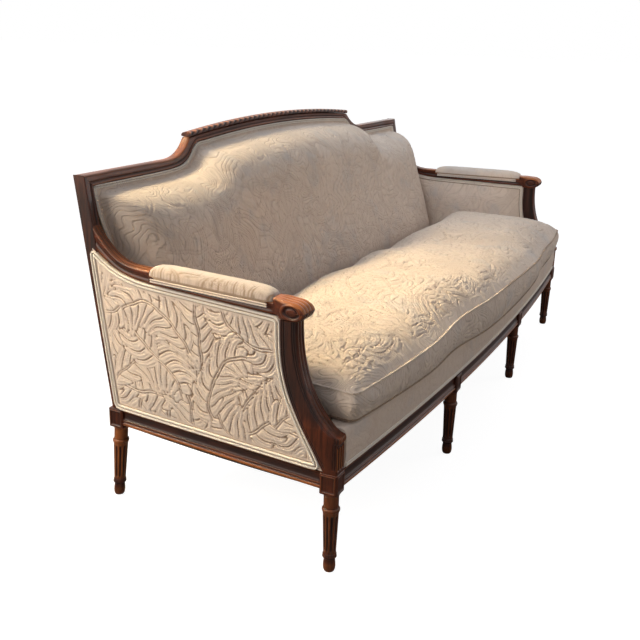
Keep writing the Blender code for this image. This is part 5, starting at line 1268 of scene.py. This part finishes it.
def inflated(grids, pressure, cap):
    """The closed shell that the grids make, blown up as cloth for 20 frames with its base held and the edges
    of the top half held. No point moves further than cap."""
    base = np.concatenate([grid[-1, :-1] for grid in grids[1:]])
    parts = [patch(grid) for grid in grids] + [lid(base)]
    starts = np.cumsum([0] + [len(part[0]) for part in parts])
    points = np.concatenate([part[0] for part in parts])
    _, first, number = np.unique(np.round(points, 5), axis=0, return_index=True, return_inverse=True)
    number = number.ravel()
    faces = []
    for start, part in zip(starts, parts):
        faces += number[part[1] + start].tolist()
    rest = points[first]
    mesh = bpy.data.meshes.new("inflating")
    mesh.from_pydata(rest.tolist(), [], faces)
    turn_outwards(mesh, 0.0)
    bag = bpy.data.objects.new("inflating", mesh)
    scene.collection.objects.link(bag)
    held = bag.vertex_groups.new(name="held")
    edge_hold, side_holds = 0.6, [0.6, 0, 0, 0, 0, 0, 1, 1, 1]
    weights = [np.pad(np.zeros(np.array(grids[0].shape[:2]) - 2), 1, constant_values=edge_hold).ravel()]
    weights += [np.repeat(side_holds, grid.shape[1]) for grid in grids[1:]] + [np.ones(len(parts[-1][0]))]
    weights = np.concatenate(weights)[first]
    for weight in (edge_hold, 1.0):
        held.add(np.flatnonzero(weights == weight).tolist(), weight, "REPLACE")
    cloth = bag.modifiers.new("cloth", "CLOTH").settings
    cloth.vertex_group_mass = "held"
    cloth.use_pressure = True
    cloth.uniform_pressure_force = pressure
    cloth.effector_weights.gravity = 0.0
    cloth.shrink_min = -0.004
    for number_of_frame in range(1, 21):
        scene.frame_set(number_of_frame)
    blown = bag.evaluated_get(bpy.context.evaluated_depsgraph_get()).to_mesh()
    moved = np.empty(len(rest) * 3, np.float32)
    blown.vertices.foreach_get("co", moved)
    moved = moved.reshape(-1, 3) - rest
    bpy.data.objects.remove(bag)
    scene.frame_set(1)
    length = np.linalg.norm(moved, axis=-1, keepdims=True)
    result = (rest + moved * np.minimum(1, cap / np.maximum(length, 1e-9)))[number]
    return [result[start:start + grid.shape[0] * grid.shape[1]].reshape(grid.shape)
            for start, grid in zip(starts, grids)]


def finer(grid, times):
    """The grid with times as many steps both ways, on Catmull-Rom curves through its points."""
    for _ in range(2):
        count = len(grid)
        at = np.arange((count - 1) * times + 1) / times
        i = np.minimum(at.astype(int), count - 2)
        f = (at - i)[:, None, None]
        before, after = grid[np.maximum(i - 1, 0)], grid[np.minimum(i + 2, count - 1)]
        here, ahead = grid[i], grid[i + 1]
        grid = here + 0.5 * f * (ahead - before + f * (
            2 * before - 5 * here + 4 * ahead - after + f * (3 * (here - ahead) + after - before)))
        grid = grid.transpose(1, 0, 2)
    return grid


def steps_in(count):
    """How many steps each of count points is from the nearer end of its row."""
    return np.minimum(np.arange(count), np.arange(count)[::-1])


grids = cushion_grids(190, 46)
grids = inflated(grids, 4.0, 0.026)
top, *sides = [finer(grid, 4) for grid in grids]
sides = [grid[::2] for grid in sides]
low_row, step_length = 12, 0.00275
high_edge, low_edge, base_edge = [
    np.concatenate([grid[row, :-1] for grid in sides]) for row in (0, low_row, -1)]
from_edge = np.minimum(steps_in(top.shape[0])[:, None], steps_in(top.shape[1])[None, :]) * step_length

# Small gathers fan out from the two front corners.
gather = 0.0
for sign in (-1, 1):
    away_x, away_y = top[..., 0] - sign * 1.020, top[..., 1] + 0.020
    away = np.hypot(away_x, away_y)
    spread = np.cos(34 * np.arctan2(away_y, -sign * away_x) + 3 * np.sin(9 * away_x))
    gather = gather + 0.0006 * spread * rise(away, 0.02, 0.05) * (1 - rise(away, 0.08, 0.24))
top[..., 2] += gather * rise(from_edge, 0.0, 0.02)
parts = [quilted_patch(top, 1.15 * top[..., 0] + 0.31, 1.15 * top[..., 1] + 0.16, 0.0046,
                       rise(from_edge, 0.004, 0.040), (0, 0, 1), 0.40, 0.75)]
level = np.linspace(0, 1, sides[0].shape[0])[:, None]
fade = rise(level, 0.03, 0.16) * (1 - rise(level, 0.58, 0.72))
for grid, out in zip(sides, side_normal):
    run = grid[..., 0] if out[0] == 0 else grid[..., 1]
    parts.append(quilted_patch(grid, run + 0.05, grid[..., 2] + 0.2, 0.0022, fade + 0 * run, out, 0.3, 0.35))
parts.append(plain_face(base_edge))
# Painted shade on the welts: the high welt darkens towards the right, where the seat is out of the lamp, and
# the low welt is drawn dark as the shadow line under the boxing.
welt_lit_to_shaded = blend(0.98, 0.15, rise(high_edge[:, 0], -0.35, 0.0))
for loop, radius, pale in ((high_edge, 0.0028, welt_lit_to_shaded), (low_edge, 0.0022, 0.12 + 0 * welt_lit_to_shaded)):
    parts += welt(loop[::3], (0, 0, 1), radius, -0.0016, 0.0, True, pale[::3])
made = piece("seat_cushion_boxed", "seat_cushion", parts, seat_cloth, body="cushion", sharp=60)


# Studio. A white floor that keeps a pale shadow, a white surround, a warm lamp high behind the left arm that
# lights the seat over the crest, and large soft lamps that fill the sides and the front.

floor_mesh = bpy.data.meshes.new("studio_floor")
corner = 60.0
floor_mesh.from_pydata(
    [(-corner, -corner, 0), (corner, -corner, 0), (corner, corner, 0), (-corner, corner, 0)],
    [], [(0, 1, 2, 3)])
floor = bpy.data.objects.new("studio_floor", floor_mesh)
scene.collection.objects.link(floor)
paper = bpy.data.materials.new("studio_paper")
paper.use_nodes = True
paper.node_tree.nodes.clear()
sheet_start = Socket(paper.node_tree)
seen = sheet_start.node("LightPath", {}, out="Is Camera Ray")
matt = sheet_start.node("BsdfDiffuse", {"Color": (0.30, 0.29, 0.28, 1.0)})
glow = sheet_start.node("Emission", {"Color": (1.0, 1.0, 1.0, 1.0), "Strength": 0.93 * seen})
both = sheet_start.node("AddShader", {0: matt, 1: glow})
sheet_start.node("OutputMaterial", {"Surface": both}, out=None)
floor_mesh.materials.append(paper)

surround = bpy.data.worlds.new("studio_surround")
surround.use_nodes = True
surround.node_tree.nodes.clear()
scene.world = surround
world_start = Socket(surround.node_tree)
rays = [world_start.node("LightPath", {}, out=name)
        for name in ("Is Camera Ray", "Is Glossy Ray", "Is Transmission Ray")]
shown = rays[0] + rays[1] + rays[2]
direction = world_start.node("TexCoord", {}, out="Generated")
upward = world_start.node("SeparateXYZ", {0: direction}, out="Z")
sky = upward.between(-0.2, 0.9).tint((0.20, 0.180, 0.16), (0.64, 0.67, 0.74))
ambient = world_start.node("Background", {"Color": sky, "Strength": 0.58})
white = world_start.node("Background", {"Color": (1.0, 1.0, 1.0, 1.0), "Strength": 1.0})
either = world_start.node("MixShader", {0: shown, 1: ambient, 2: white})
world_start.node("OutputWorld", {"Surface": either}, out=None)

# Each lamp: its power in watts, width in metres, spread in degrees, colour, where it stands and what it faces.
for name, power, width, spread, tint_of_lamp, stand, target in (
        ("window_lamp", 10.9, 0.9, 30, (1.0, 0.83, 0.50), (-1.38, 3.10, 3.86), (-0.54, -0.30, 0.46)),
        ("side_fill", 53.0, 1.5, 180, (1.0, 0.92, 0.80), (-2.8, 1.75, 1.5), (-1.0, 0.0, 0.45)),
        ("sky_fill", 5.5, 1.4, 90, (0.68, 0.83, 1.0), (0.3, 1.3, 3.0), (0.95, 0.0, 0.5)),
        ("across_fill", 0.9, 0.8, 30, (0.93, 0.97, 1.0), (-2.4, -0.35, 2.2), (1.1, 0.0, 0.68)),
        ("right_fill", 9.0, 1.8, 180, (0.95, 0.97, 1.0), (3.2, 0.6, 1.8), (1.0, 0.0, 0.45)),
        ("front_fill", 8.5, 1.6, 120, (1.0, 0.95, 0.92), (2.4, -2.8, 1.3), (0.45, -0.4, 0.32))):
    lamp_data = bpy.data.lights.new(name, "AREA")
    lamp_data.energy = power
    lamp_data.size = width
    lamp_data.spread = math.radians(spread)
    lamp_data.color = tint_of_lamp
    lamp = bpy.data.objects.new(name, lamp_data)
    lamp.location = stand
    lamp.rotation_euler = (Vector(target) - lamp.location).to_track_quat("-Z", "Y").to_euler()
    scene.collection.objects.link(lamp)
scene.view_settings.view_transform = "Standard"
